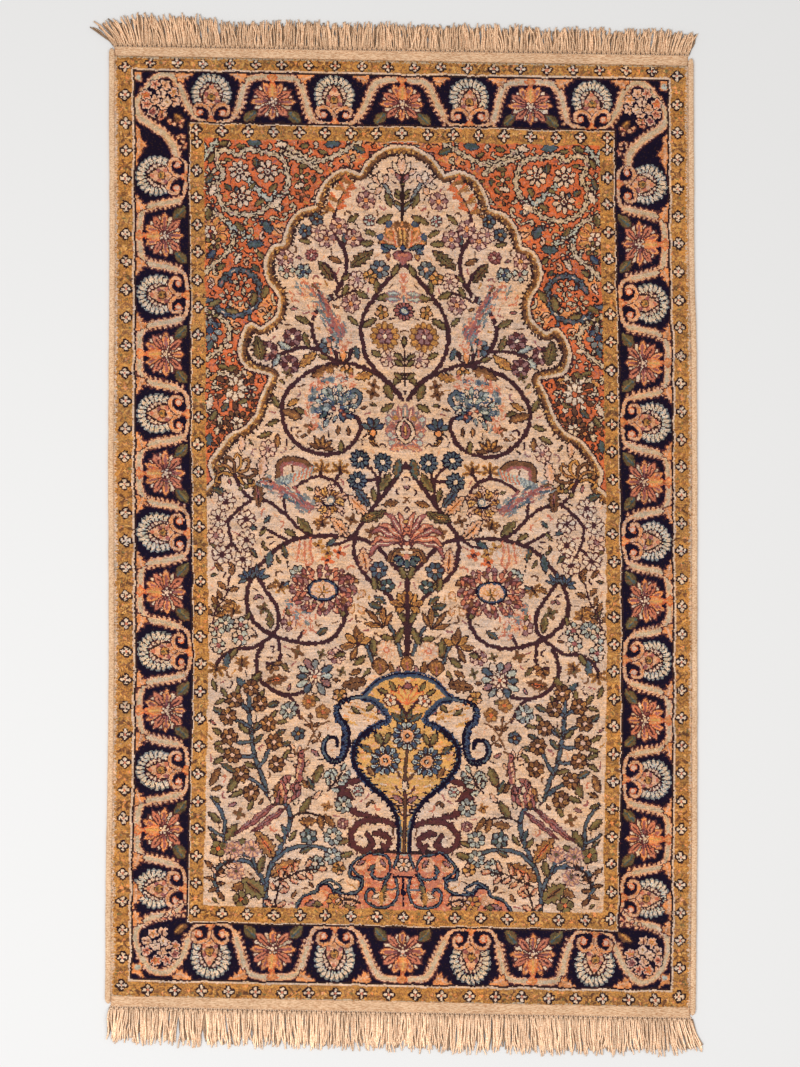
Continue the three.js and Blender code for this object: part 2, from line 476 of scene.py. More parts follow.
def draw_vine():
    """The running vine with its thorns: thinner at the field's edge, thickest at the top corner."""
    vine = border_vine()
    from_side = HALF - SIDE[BORDER] - vine.real
    from_end = np.minimum(vine.imag - BOTTOM[BORDER], ROWS - TOP[BORDER] - vine.imag)
    depth = np.minimum(from_side, from_end)
    thick = np.clip((36.5 - depth) / 7, 0.5, 1)
    at_corner = (vine.imag > 604) & (vine.imag < 631) & (vine.real > 160)
    thick = np.where(at_corner, 1.3, thick)
    line(vine, 6.4 * thick, "maroon")
    thorns(vine, 1, (depth > 5.5) & (depth < 34), 3.8, 3.6)
    thorns(vine, -1, (depth > 6) & (depth < 34), 2.6, 4.3)
    line(vine, 4.8 * thick, "peach")
    line(vine, np.where(thick < 0.8, 0.3, 2.6 * thick), "vine")


def long_comb(low, high):
    """A long ragged orange comb on the outer edge, beside a corner."""
    middle = 0.5 * (low + high)
    comb = [(low, 0.6), (low + 3, 3), (low + 6, 2.4), (middle - 5, 6), (middle - 3, 5), (middle, 9),
            (middle + 3, 6.4), (high - 7, 4), (high - 5, 4.8), (high, 0.6)]
    shape(np.array([on_side(along, depth) for along, depth in comb]), "orange", "maroon")
    line([on_side(middle - 5, 3), on_side(middle + 5, 3)], 1.4, "peach")


def main_border():
    """The vine, then a shell or a lotus in each of its bends, and what fills the corners."""
    draw_vine()
    for setting, shells, lotuses in (
        (on_bottom, END_SHELLS, END_LOTUSES),
        (on_top, END_SHELLS, END_LOTUSES),
        (on_side, SIDE_SHELLS, SIDE_LOTUSES),
    ):
        for place in shells:
            outer_combs(setting, place)
            shell(lambda z: setting(place + np.real(z), np.imag(z)))
        for place in lotuses:
            border_leaves(setting, place)
            lotus(lambda z: setting(place + np.real(z), np.imag(z)))
    corner_flower(171+37j, (1-1j) / 2 ** 0.5)
    corner_flower(172.5+641j, (1+1j) / 2 ** 0.5)
    inner_leaves([171+628j, 166+624j, 160+625j, 159+617j, 155+610j])
    inner_leaves([168+56j, 162+58j, 157+61j, 156+70j])
    long_comb(60, 84)
    long_comb(592, 624)


def stripe(number):
    """One stripe of the border, right round."""
    yarn = YARN[STRIPES[number]]
    left, right = HALF - SIDE[number + 1], HALF - SIDE[number]
    low, high = BOTTOM[number], ROWS - TOP[number]
    chart[knots(low, high, ROWS), knots(left, right, HALF)] = yarn
    chart[knots(low, BOTTOM[number + 1], ROWS), knots(0, right, HALF)] = yarn
    chart[knots(ROWS - TOP[number + 1], high, ROWS), knots(0, right, HALF)] = yarn


def pale_edges_with_painted_light():
    """Ragged pale knots along the rug's sides and ends: partly the edge's own paler yarn, partly painted
    light that softens the shade where the pile drops to the foundation.
    """
    rng = np.random.default_rng(5)
    # a few pale knots at each side: partly the edge's own yarn, partly painted light over the shade at the
    # pile's edge
    for row, pale_width in zip(chart, rng.integers(2, 5, len(chart))):
        yarns = rng.choice(["cream", "vine", "petal", "gold"], pale_width, p=[0.5, 0.25, 0.15, 0.1])
        row[-pale_width:] = [YARN[yarn] for yarn in yarns]
    # the end rows lightened as painted light, over the shade where the pile drops to the end bands
    for edge in (chart[:1], chart[-2:]):
        edge[:] = np.where(rng.random(edge.shape) < 0.7, YARN["vine"], edge)


def borders():
    """All the stripes: the main border's motifs reach under the narrower stripes beside it."""
    stripe(BORDER)
    main_border()
    for number in (0, 1, 3, 4):
        stripe(number)
    for number, inset in ((BORDER, 0.5), (BORDER + 1, -0.5)):
        side = HALF - SIDE[number] - inset
        low, high = (BOTTOM[number] + inset) * 1j, (ROWS - TOP[number] - inset) * 1j
        line(np.array([low, side + low, side + high, high]), 1.0, "ink")
    guard(side=198, bottom=5, top=667.5, uprights=np.linspace(8, 664, 34),
          acrosses=9.5 + 18.95 * np.arange(11))
    guard(side=147.5, bottom=60.5, top=619.5, uprights=np.append(np.linspace(62, 611, 29), 619.5),
          acrosses=18.4 * np.arange(9))
    pale_edges_with_painted_light()


# ---- small motifs of the field -----------------------------------------------------------------

def daisy(place, radius, petal, heart, count, edge):
    """A round flower: lobed outline, dark lines between its petals, and a small heart."""
    shape(place + scallop(radius, count, 0.3), petal, edge)
    for angle in (np.arange(count) + 0.5) * 360 / count:
        line(place + turn(angle) * radius * np.array([0.35, 0.85]), 0.9, edge)
    shape(place + ring(0, 0.3 * radius), heart, edge)


def blossom(place, radius, petal, heart, count, edge, phase=0, tint=None):
    """A lobed flower with notches between its petals, every other petal in the tint."""
    way = turn(phase)
    shape(at(place, way)(scallop(radius, count, 0.3)), petal, edge)
    for number in range(count):
        if tint and number % 2:
            dot(place + 0.64 * radius * way, 0.25 * radius, tint)
        notch = way * turn(180 / count)
        line(place + radius * notch * np.array([0.3, 0.85]), 0.95, edge)
        way = way * turn(360 / count)
    dot(place, 0.3 * radius, edge)
    dot(place, 0.23 * radius, heart)


def speck(place, radius, petal, heart="ink"):
    """A soft little flower of four lobes with a dark heart and no outline."""
    for angle in (20, 110, 200, 290):
        line([place, place + 0.72 * radius * turn(angle)], 0.55 * radius, petal)
        line([place, place + 0.4 * radius * turn(angle + 45)], 0.9, heart)
    dot(place, 0.22 * radius, heart)


SECOND = {  # the other yarn of a two-toned leaf
    "olive": "moss", "moss": "olive", "teal": "olive", "steel": "teal", "blue": "steel",
    "bronze": "ochre", "ochre": "bronze", "gold": "ochre", "blush": "peach", "rust": "orange",
    "orange": "gold", "brown": "bronze", "haze": "ice", "ivory": "petal", "ice": "haze",
    "cream": "gold", "mauve": "rose", "rose": "mauve", "peach": "blush", "petal": "ivory",
    "salmon": "peach", "amber": "gold", "vine": "cream", "plum": "mauve", "maroon": "rose",
}


def leaf(foot, tip, yarn, plump, edge="ink"):
    """A pointed leaf in two tones; a long one has teeth."""
    put = at(foot, tip - foot)
    size = abs(tip - foot)
    outline = blade(1, 0.86 * plump)
    if size > 7:
        outline = blade(1, plump, steps=13)
        outline = outline.real + 1j * outline.imag * (1 - 0.38 * (np.arange(len(outline)) % 3 == 1))
    shape(put(outline), yarn, edge)
    side = 0.1j * plump * (1 if (foot.real + foot.imag) % 2 < 1 else -1)
    line(put([0.25 + side, 0.74 + side]), 0.26 * plump * size + 0.5, SECOND[yarn])


def leaves(table, plump=0.45):
    """The leaves of a table, yarn: foot and tip of each leaf."""
    for yarn, pairs in table.items():
        for foot, tip in pairs:
            leaf(foot, tip, yarn, plump)


def fingers(place, facing, size):
    """Narrow leaves spread like a hand: a dark vein in each, a soft pale edge and no outline."""
    ways = turn(facing + np.linspace(-100, 100, 5))
    for way in ways:
        fill(place + size * way * blade(1, 0.42, 1.3), "gold")
    for way in ways:
        line([place, place + 0.72 * size * way], 1.5, "bronze")
    line([place - 0.3 * size * turn(facing), place + 0.25 * size * turn(facing)], 1.8, "ink")


def saw_leaf(foot, tip, yarn, plump, tint, teeth=5, edge="ink"):
    """A long leaf with toothed edges and a tinted middle."""
    outline = blade(1, plump, 0.9, 4 * teeth + 1)
    jag = 1 + 0.5 * np.tile([0, 0.5, 1, -0.3], 2 * teeth)[:len(outline)]
    put = at(foot, tip - foot)
    shape(put(outline.real + 1j * outline.imag * jag), yarn, edge)
    fill(put(0.15 + 0.65 * blade(1, 0.55 * plump)), tint)
    line(put([0.1, 0.8]), 0.9, edge or "ink")


def fan(put, petals_at, length, width, yarn, edge="ink", fullness=1.4):
    """Petals from one foot, at the angles given."""
    for angle in petals_at:
        shape(put(turn(angle) * blade(length, width, fullness)), yarn, edge)


def lily(place, facing, size, yarn, heart):
    """Five pointed petals that open like a hand."""
    put = at(place, turn(facing))
    fan(put, (82, -82, 42, -42, 0), size, 0.36 * size, yarn, fullness=0.9)
    for angle in (42, -42, 0):
        line(put(turn(angle) * size * np.array([0.3, 0.7])), 1.1, heart)


def tulip(place, facing, size, yarn, heart):
    """A cup of two outer petals that turn away from a middle one."""
    put = at(place, turn(facing))
    shape(put(size * blade(1, 0.5)), heart, "ink")
    for side in (1, -1):
        petal = spline([0, 0.3+0.36j, 0.75+0.34j, 1.0+0.62j, 0.7+0.62j, 0.15+0.5j], True, 3)
        petal = petal.real + 1j * side * petal.imag
        shape(put(size * petal), yarn, "ink")


def stem(points, width, yarn, edge=None, thin=1.0):
    """A vine through the points, `thin` times as wide at its far end, with small knobs along it."""
    curve = spline(points)
    widths = width * np.linspace(1, thin, len(curve))
    knobs = list(stations(curve, 4.2))
    for extra, layer in ((1.6, edge), (0, yarn)):
        if layer:
            line(curve, widths + extra, layer)
            for number, (place, way) in enumerate(knobs):
                side = 1j if number % 2 else -1j
                bump = place + side * way * 0.42 * width
                line([bump, bump + 1.2 * way], 0.5 * width + extra, layer)


def sprig(points, yarn, pairs, size, vine="ink"):
    """A twig with a leaf at its tip and pairs of leaves along it."""
    curve = spline(points)
    line(curve, 1.5, vine)
    for share in np.linspace(0.2, 0.8, pairs):
        i = int(share * (len(curve) - 1))
        way = curve[i + 1] - curve[i - 1]
        way /= abs(way)
        for side in (1, -1):
            foot = curve[i] + side * 1j * way
            leaf(foot, curve[i] + (size + 1) * way * turn(60 * side), yarn, 0.52)
    way = curve[-1] - curve[-3]
    leaf(curve[-1], curve[-1] + size * way / abs(way), yarn, 0.52)


# ---- the niche and its spandrels ----------------------------------------------------------------

FIELD = HALF - SIDE[-1]      # half width of the field
NICHE = [  # the lobes of the niche, from its apex down to the side
    [612j, 9+611.5j, 19+606j, 27+599j, 31+592.5j],
    [31+592.5j, 42+594.5j, 53+589j, 60+579j, 64+568j],
    [64+568j, 75+564j, 83+554j, 86.5+541j],
    [86.5+541j, 95+538j, 100+526j, 98.5+513j, 91+502j, 92+489j, 102+480.5j],
    [102+480.5j, 110+484j, 117+475j, 119.5+462j, 114+450.5j, 97+445j],
    [97+445j, 103+432j, 109+416j, 116+408.5j, 126+403.5j, 135+392j, 141+382j,
     138+370.5j],
    [138+370.5j, 144+364j],
]


def shifted(points, distance):
    """The same line moved sideways, to its right as it runs."""
    way = np.gradient(points)
    return points - 1j * way / abs(way) * distance


def niche():
    """The lobed edge: a cream stripe, a mottled brown one and dark teeth, round a cream field."""
    rng = np.random.default_rng(5)
    edge = np.concatenate([spline(lobe, steps=7)[:-1] for lobe in NICHE] + [NICHE[-1][-1:]])
    spandrels = chart.copy()
    near, inside = inside_of(np.concatenate([edge, [144+64j, -1+64j, -1+612j]]))
    chart[near][inside] = YARN["cream"]
    for place, way in stations(edge, 2.6):
        reach = rng.uniform(7.0, 8.4)
        line([place - 5.6j * way, place - 1j * reach * way + 1.2 * way], 1.6, "ink")
    for width, yarn in ((13.4, "ink"), (12.2, "brown"), (10.4, "bronze"), (8.0, "ochre")):
        line(edge, width, yarn)
    for place, way in stations(edge, 1.6):
        start = place - 1j * rng.uniform(3.2, 6.0) * way
        line([start, start + rng.uniform(-1.5, 1.5) * way - 1j * rng.uniform(0, 1.2) * way], 1.0,
             ("brown", "gold", "bronze", "amber", "ink")[rng.integers(5)])
    line(edge, 6.2, "gold")
    line(edge, 5.4, "vine")
    line(edge, 4.2, "petal")
    chart[near][~inside] = spandrels[near][~inside]
    line(edge, 1.0, "plum")


def ribbon(points, yarn):
    """A thin outlined arabesque with small knobs along both sides."""
    curve = spline(points)
    knobs = list(stations(curve, 2.8))
    for width, reach, layer in ((4.4, 1.9, "ink"), (2.2, 0.9, yarn)):
        line(curve, width, layer)
        for number, (place, way) in enumerate(knobs):
            side = 1j if number % 2 else -1j
            dot(place + 1.5 * side * way, reach, layer)
    for number, (place, way) in enumerate(stations(curve, 5.6)):
        line([place, place + 2.2 * way], 0.9, ("ink", "mauve", "ink", "petal")[number % 4])
        if number % 3 == 1:
            side = 1j if number % 2 else -1j
            hook = place + side * way * np.array([3.4, 5.4+1.4j, 6.4+0.2j])
            outlined(hook, 1.2, yarn, "ink", 3.0)


SPANDREL_LOW = 350    # the row where the orange corner's ground begins
RUST_LIGHTS = [  # where the spandrel's orange is lighter: middle, half width, half height
    (98, 494, 7, 12), (118, 492, 9, 5), (38, 603, 9, 5), (137, 546, 12, 11), (134, 515, 7, 6),
    (88, 550, 6, 5), (18, 613, 10, 3), (125, 480, 5, 8),
]
ARABESQUES = [  # yarn, then the points
    ("vine", [30+613j, 40+608j, 50+602j, 60+599j, 70+602j, 78+606j, 88+613j]),
    ("vine", [58+592j, 66+597j, 76+601j, 84+604j]),
    ("vine", [88+603j, 100+605j, 113+607j, 116+602j, 124+605.5j, 132+605j, 133+597j,
              128.5+589j, 133+583j, 132+573j, 126+564j, 113+560j, 101+562j, 95+568j,
              86+574j, 82+584j, 83+594j, 88+603j]),
    ("ice", [112+586j, 105+580j, 98+573j, 92+571j, 86+573j]),
    ("vine", [142+563j, 133+561j, 125+554j, 121.5+545j, 124+535j, 131+529j, 138+522j,
              143+518j]),
    ("ice", [125+554j, 117+548j, 110+543j]),
    ("steel", [104+513j, 109+518j, 117+520.5j, 126+517j, 131+509j]),
    ("steel", [104+512j, 103+504j, 106+496j, 113+490j, 122+488j, 131+491j, 137+497j, 143+500j]),
    ("vine", [143+492j, 134+488j, 127+482j, 125+474j, 129+466j, 136+460j, 143+456j]),
    ("vine", [143+448j, 136+444j, 130+447j, 124+444j, 118+447j]),
    ("vine", [143+420j, 136+418j, 132+412j, 134+404j]),
    ("ice", [133+612j, 138+606j, 142+600j]),
]
SPANDREL_FLOWERS = [  # radius, petals, heart, how many petals, outline, places
    (7.6, "petal", "maroon", 8, "plum", [96.7+591j, 116.8+591j, 115.5+573j]),
    (6, "vine", "rust", 6, "ink", [126+501j, 114+500j, 116+511j, 138+588j]),
    (4.4, "vine", "rust", 5, "plum", [
        105+531j, 107+540j, 118+534j, 136+566j, 117+544j, 132+457j, 121+459j,
        114+453j, 137+433j, 104+556j, 138+578j, 110+434j]),
    (5.4, "moss", "ivory", 5, "ink", [72+588j, 136+540j, 138+486j]),
    (5, "bronze", "rust", 4, "brown", [72+575j, 137+530j, 128+437j, 139+412j]),
    (8.4, "haze", "blue", 8, "ink", [139+477j]),
    (5.4, "brown", "orange", 5, "ink", [103+427j, 108+420j, 128+408j, 133+395j, 112+444j]),
]
SPANDREL_LEAVES = {
    "steel": [
        (92+549j, 102+556j), (100+556j, 94+546j), (112+538j, 99+540j), (44+612j, 56+611j),
        (100+611j, 112+613j), (84+566j, 92+564j), (137+470j, 141+462j), (138+404j, 141+394j),
    ],
    "teal": [
        (107+600j, 101+595j), (104+593j, 105+601j), (128+582j, 122+577j), (26+606j, 36+610j),
        (136+590j, 141+582j), (108+525j, 103+520j), (125+425j, 131+419j),
    ],
    "blue": [
        (134+535j, 141+528j), (118+580j, 120+576j), (133+478j, 137+484j),
    ],
    "olive": [
        (122+599j, 128+599j), (90+583j, 95+576j), (99+572j, 106+566j), (105+583j, 110+579j),
        (97+510j, 102+500j), (106+506j, 109+494j), (118+491j, 128+492j), (131+499j, 140+494j),
        (60+607j, 53+604j), (112+610j, 120+609j), (124+612j, 132+609j), (135+604j, 139+596j),
        (128+525j, 134+520j), (66+611j, 74+609j), (134+420j, 139+412j), (66+582j, 70+578j),
        (112+429j, 119+426j), (126+450j, 134+452j), (104+534j, 99+528j),
    ],
    "moss": [
        (114+548j, 120+555j), (120+452j, 128+448j), (138+565j, 140+555j), (75+595j, 67+596j),
    ],
    "ivory": [
        (87+563j, 92+573j), (86+572j, 95+565j), (134+582j, 138+572j), (116+532j, 121+524j),
        (122+466j, 130+466j), (137+430j, 141+420j), (70+583j, 78+580j), (92+610j, 82+611j),
    ],
    "orange": [
        (112+458j, 118+452j), (108+445j, 114+448j), (134+447j, 139+441j),
    ],
}

def spandrel_rosettes():
    """The orange corner's three large flowers: an orange, a white and a bronze one."""
    sun = 138 + 547j
    for number, place in enumerate(ring(sun, 11.5, 9)):
        shape(at(sun, turn(number * 40))(4 + blade(9, 5.5, 1.6)), "orange", "maroon")
        line([sun, place], 1.8, "gold")
    daisy(sun, 5.4, "ivory", "rust", 6, "maroon")
    white, bronze = 121 + 436j, 120 + 411j
    petals(white, 12, (8, 8, 4.2, 1.4), ["ivory", "brown"], "ink")
    petals(bronze, 12, (4, 6, 3.2, 1.4), ["bronze"], "ink")
    blossom(white, 9, "ivory", "rust", 8, "brown")
    blossom(bronze, 5, "ivory", "brown", 5, "ink")


def spandrel_flower(place, radius, petal, heart, count, edge):
    """A flower of separate petals about an outlined heart."""
    cut = (0.2 * radius, 0.9 * radius, 0.5 * radius, 1.6)
    petals(place, count, cut, [petal], "ink", phase=12)
    dot(place, 0.34 * radius, "ivory" if heart == "maroon" else heart, edge)
    dot(place, 0.16 * radius, heart)


def spandrel():
    """The orange corner between the niche and the inner guard."""
    chart[knots(SPANDREL_LOW, ROWS - TOP[-1], ROWS), knots(0, FIELD + 1, HALF)] = YARN["rust"]
    for x, y, wide, tall in RUST_LIGHTS:
        fill(x + 1j * y + oval(wide, tall, 12), "orange")
    for yarn, points in ARABESQUES:
        ribbon(points, yarn)
    spandrel_rosettes()
    for *looks, places in SPANDREL_FLOWERS:
        for place in places:
            spandrel_flower(place, *looks)
    leaves(SPANDREL_LEAVES, 0.55)


# ---- the vase, its foot and its scrolls ----------------------------------------------------------

VASE = [
    234j, 10+233j, 20+228.5j, 28+221j, 31+216.5j, 24+215j, 18+209j, 13+201j,
    21+197.5j, 29+192j, 35.5+183j, 37+173j, 33+163j, 23+152j, 12+142j, 6+132j,
    4+120j, 4+108j,
]
HANDLE = [
    30+217.5j, 38+216.5j, 46+214j, 50+208j, 48.5+201j, 44+196j, 42.5+186j,
    44+177j, 49+171j, 56+173.5j, 59+180j, 56+187j, 50+187j, 48.5+182j,
]
PLINTH = [
    107j, 12+107.5j, 24+107j, 31+103j, 37+96j, 37+89j, 31+87j, 30+81j,
    37+77j, 47+77.5j, 54+83.5j, 60+82j, 62+77j, 70+74j, 75+69j, 77+64j,
]
PLINTH_SCROLLS = [
    [4+106j, 6+99j, 9+92j, 13+85j, 15+80j],
    [22+106j, 13+104j, 9.5+97j, 11+90j, 17+87j, 23+90j, 22+95j],
    [6+92j, 4+83j, 4.5+75j, 9+69j, 17+67j, 25+70j, 26.5+77j, 22+80.5j, 19.5+76j],
    [37+96j, 33+91j, 29+88j, 29.5+82j],
    [50+78j, 44+81j, 52+86j, 60+83j],
]
C_SCROLLS = [  # the purple scrolls either side of the foot
    [6+126j, 18+129.5j, 31+133j, 42+138.5j, 47+146j, 44+154j, 36+158j, 27+157j],
    [18+129j, 29+128.5j, 36+123j, 38+115j, 33+108.5j, 26+109j, 22.5+114j, 27+119j],
    [21+120j, 15+119j, 10.5+115j, 12+110.5j, 16+112j],
    [46+147j, 42+150j, 39.5+146j, 42+143j],
]


VASE_STEMS = [  # points, width, yarn
    ([205j, 4+210j, 9+216j], 2.4, "plum"),
    ([157j, 4+161j, 8+167j], 1.6, "brown"),
    ([1+147j, 5+150j, 7+154j], 1.4, "maroon"),
    ([131j, 3+134j, 4+138j], 1.4, "plum"),
]
VASE_LEAVES = {
    "teal": [(2+200j, 11+206j), (1+201j, 4+209j), (24+178j, 33+183j), (26+222j, 31+218j)],
    "olive": [(16+183j, 12+192j), (17+183j, 23+193j), (13+219j, 21+223j),
              (8+221j, 13+229j), (23+213j, 29+207j), (33+205j, 40+210j)],
    "rose": [(3+218j, 6+227j), (1+142j, 9+147j), (17+212j, 21+205j)],
    "salmon": [(1+141j, 7+140j)],
    "moss": [(36+178j, 38+186j), (1+118j, 4+124j)],
    "ivory": [(0.5+150j, 1+158j)],
    "ochre": [(28+168j, 22+160j)],
}
PLINTH_LEAVES = {
    "olive": [(12+84j, 15+76j), (33+67j, 42+68j)],
    "moss": [(57+68j, 67+69j), (13+78j, 16+70j)],
    "steel": [(21+98j, 25+93j)],
    "rose": [(27+101j, 33+97j), (17+102j, 13+95j), (62+71j, 70+67j)],
    "petal": [(22+74j, 15+77j)],
}


def hairs(points, side, first, last, reach, yarn):
    """A fringe of short strokes along part of a line, given as shares of its length."""
    first, last = (int(share * (len(points) - 2)) for share in (first, last))
    for number, (place, way) in enumerate(stations(points[first:last + 1], 2.2)):
        part = reach * (1.0, 0.45, 0.8, 0.2, 1.15, 0.6, 0.35)[number % 7]
        line([place, place + side * part * 1j * way * turn(-35 * side)], 1.4, yarn)


def vase_ground(body):
    """The amber ground and the pale neck, streaked with the yarns nearest to them."""
    fill(np.append(body, [-1+108j, -1+234j]), "amber")
    neck = [13+201j, 18+209j, 24+215j, 31+216.5j, 42+214j, 47+208j, 43+201j,
            38+193j, 30+192j, 21+198j]
    fill(spline(neck, True, 4), "cream")
    rng = np.random.default_rng(8)
    ground = [YARN[yarn] for yarn in ("amber", "gold", "peach", "orange", "cream")]
    for _ in range(420):
        spot = rng.uniform(0, 46) + 1j * rng.uniform(110, 232)
        if is_bare(spot, 1.6, ground[:4] if spot.imag < 197 else ground):
            streak = [spot - rng.uniform(1, 2.4), spot + rng.uniform(1, 2.4) + 0.8j]
            line(streak, 1.2, rng.choice(["gold", "peach", "orange", "gold", "amber", "cream"]))


def vase_flowers():
    """The stalk inside the vase, with its leaves, two blue daisies and the spray above them."""
    outlined([108j, 182j], 1.2, "brown", "ink", 2.6)
    for points, width, yarn in VASE_STEMS:
        stem(points, width, yarn)
    leaves(VASE_LEAVES)
    for place in (190j, 15.2+171.8j):
        for number in range(14):
            put = at(place, turn(number * 360 / 14))
            shape(put(3.8 + blade(7.2, 3.6, 1.8)), ("steel", "ice")[number % 2], "ink")
            line(put([6.5, 9]), 0.8, "blue")
        dot(place, 5.0, "peach", "ink")
        dot(place, 3.6, "orange")
        dot(place, 1.4, "ivory", "ink")
    fan(at(212j, 1j), (50, 24, 0, -24, -50), 15, 3.8, "amber", "rust")
    dot(226j, 2.6, "rose", "maroon")
    blossom(12.5+215j, 4.8, "ivory", "rust", 5, "maroon")


def vase_outline(body):
    """The navy outline and handle, with lighter lines in them and hairs along them."""
    handle = spline(HANDLE)
    along_body, along_handle = (np.linspace(0, 1, len(curve)) for curve in (body, handle))
    line(body, np.interp(along_body, [0, 0.2, 0.35, 0.55, 0.85, 1], [2.6, 2.6, 3.0, 3.8, 3.0, 2.2]), "navy")
    line(handle, np.interp(along_handle, [0, 0.2, 0.45, 0.6, 1], [3, 4, 7, 5, 3]), "navy")
    line(shifted(body, 0.6)[:30], 1.6, "blue")
    line(shifted(body, 1.6), 1.1, "steel")
    line(shifted(body, -1.9)[:-20], 1.0, "blue")
    line(shifted(handle, 0.4)[:-12], 1.4, "steel")
    hairs(body, 1, 0.45, 0.92, 3.0, "navy")
    hairs(body, -1, 0.42, 0.9, 4.6, "navy")
    hairs(body, -1, 0.3, 0.5, 3.0, "blue")
    hairs(handle, -1, 0.1, 0.7, 3.4, "navy")
    hairs(handle, 1, 0.2, 0.6, 3.2, "blue")


def vase():
    """The amber vase on the middle line."""
    body = spline(VASE, steps=5)
    vase_ground(body)
    vase_flowers()
    vase_outline(body)


def plinth_ground(top):
    """The plinth's salmon ground, with short streaks and rounder lights of the yarns near it."""
    fill(np.append(top, [-1+64j, -1+107j]), "salmon")
    rng = np.random.default_rng(3)
    ground = [YARN[yarn] for yarn in ("salmon", "rust", "peach", "orange")]
    for _ in range(420):
        spot = rng.uniform(1, 70) + 1j * rng.uniform(67, 104)
        if is_bare(spot, 1.2, ground):
            streak = [spot, spot + rng.uniform(0.5, 2.2) * turn(rng.uniform(-30, 50))]
            line(streak, 1.3, ("rust", "peach", "orange", "rust")[rng.integers(4)])
    for place, radius in ((17+97j, 5), (30+97j, 4), (3+97j, 3), (40+72j, 6), (60+73j, 5),
                          (15+74j, 5), (30+84j, 3)):
        dot(place, radius, "peach")


def foot():
    """The vase's foot: a ringed stalk between purple scrolls."""
    line([130j, 108j], 7.5, "ice")
    line([4+131j, 4+108j], 3.2, "navy")
    line([108j, 130j], 2.4, "rose")
    for height in (112, 117, 123):
        line([1 + height * 1j, 4 + (height + 3) * 1j], 1.6, "moss")
    line([126j, 5+126j], 3.0, "teal")
    line([107.5j, 22+107.5j], 2.4, "ink")
    for points in C_SCROLLS:
        stem(points, 2.9, "maroon", "ink", 0.7)
        curve = spline(points)
        hairs(curve, 1, 0.05, 0.9, 3.6, "maroon")
        hairs(curve, -1, 0.05, 0.9, 3.4, "maroon")


def plinth():
    """The salmon plinth on the field's lower edge, with its scrolls, and the foot on it."""
    top = spline(PLINTH, steps=5)
    plinth_ground(top)
    line(top, 3.0, "navy")
    line(shifted(top, -0.3), 1.0, "steel")
    for points in PLINTH_SCROLLS:
        stem(points, 2.3, "navy")
        line(spline(points), 0.9, "steel")
    blossom(49+71j, 6, "gold", "rust", 6, "plum")
    leaves(PLINTH_LEAVES)
    sprig([31+70j, 38+73j, 44+72j], "peach", 2, 4)
    shape([-1+89j, 6+89j, 9.5+92j, 9+96j, 6+94.5j, -1+94j], "salmon", "maroon")
    line([89j, 7+89j], 1.4, "navy")
    blossom(98j, 5.4, "petal", "orange", 6, "ink")
    line([69j, 88j], 1.4, "navy")
    dot(78j, 2.0, "navy")
    line([5+80j, 11+80j], 1.6, "steel")
    line([15.5+77j, 15.5+70j], 2.6, "gold")
    foot()


# ---- the flowering field -------------------------------------------------------------------------

def field():
    """Everything that grows in the cream field, but for what fills its gaps."""
    for yarn, edge, width, paths in STEMS:
        for points in paths:
            stem(points, width, yarn, edge)
    leaves(LEAVES)
    for radius, petal, tint, heart, count, edge, places in BLOSSOMS:
        for place in places:
            blossom(place, radius, petal, heart, count, edge, 40 * place.real, tint)
    for *looks, places in DAISIES:
        for place in places:
            daisy(place, *looks)
    for *looks, places in SPECKS:
        for place in places:
            speck(place, *looks)
    blooms()


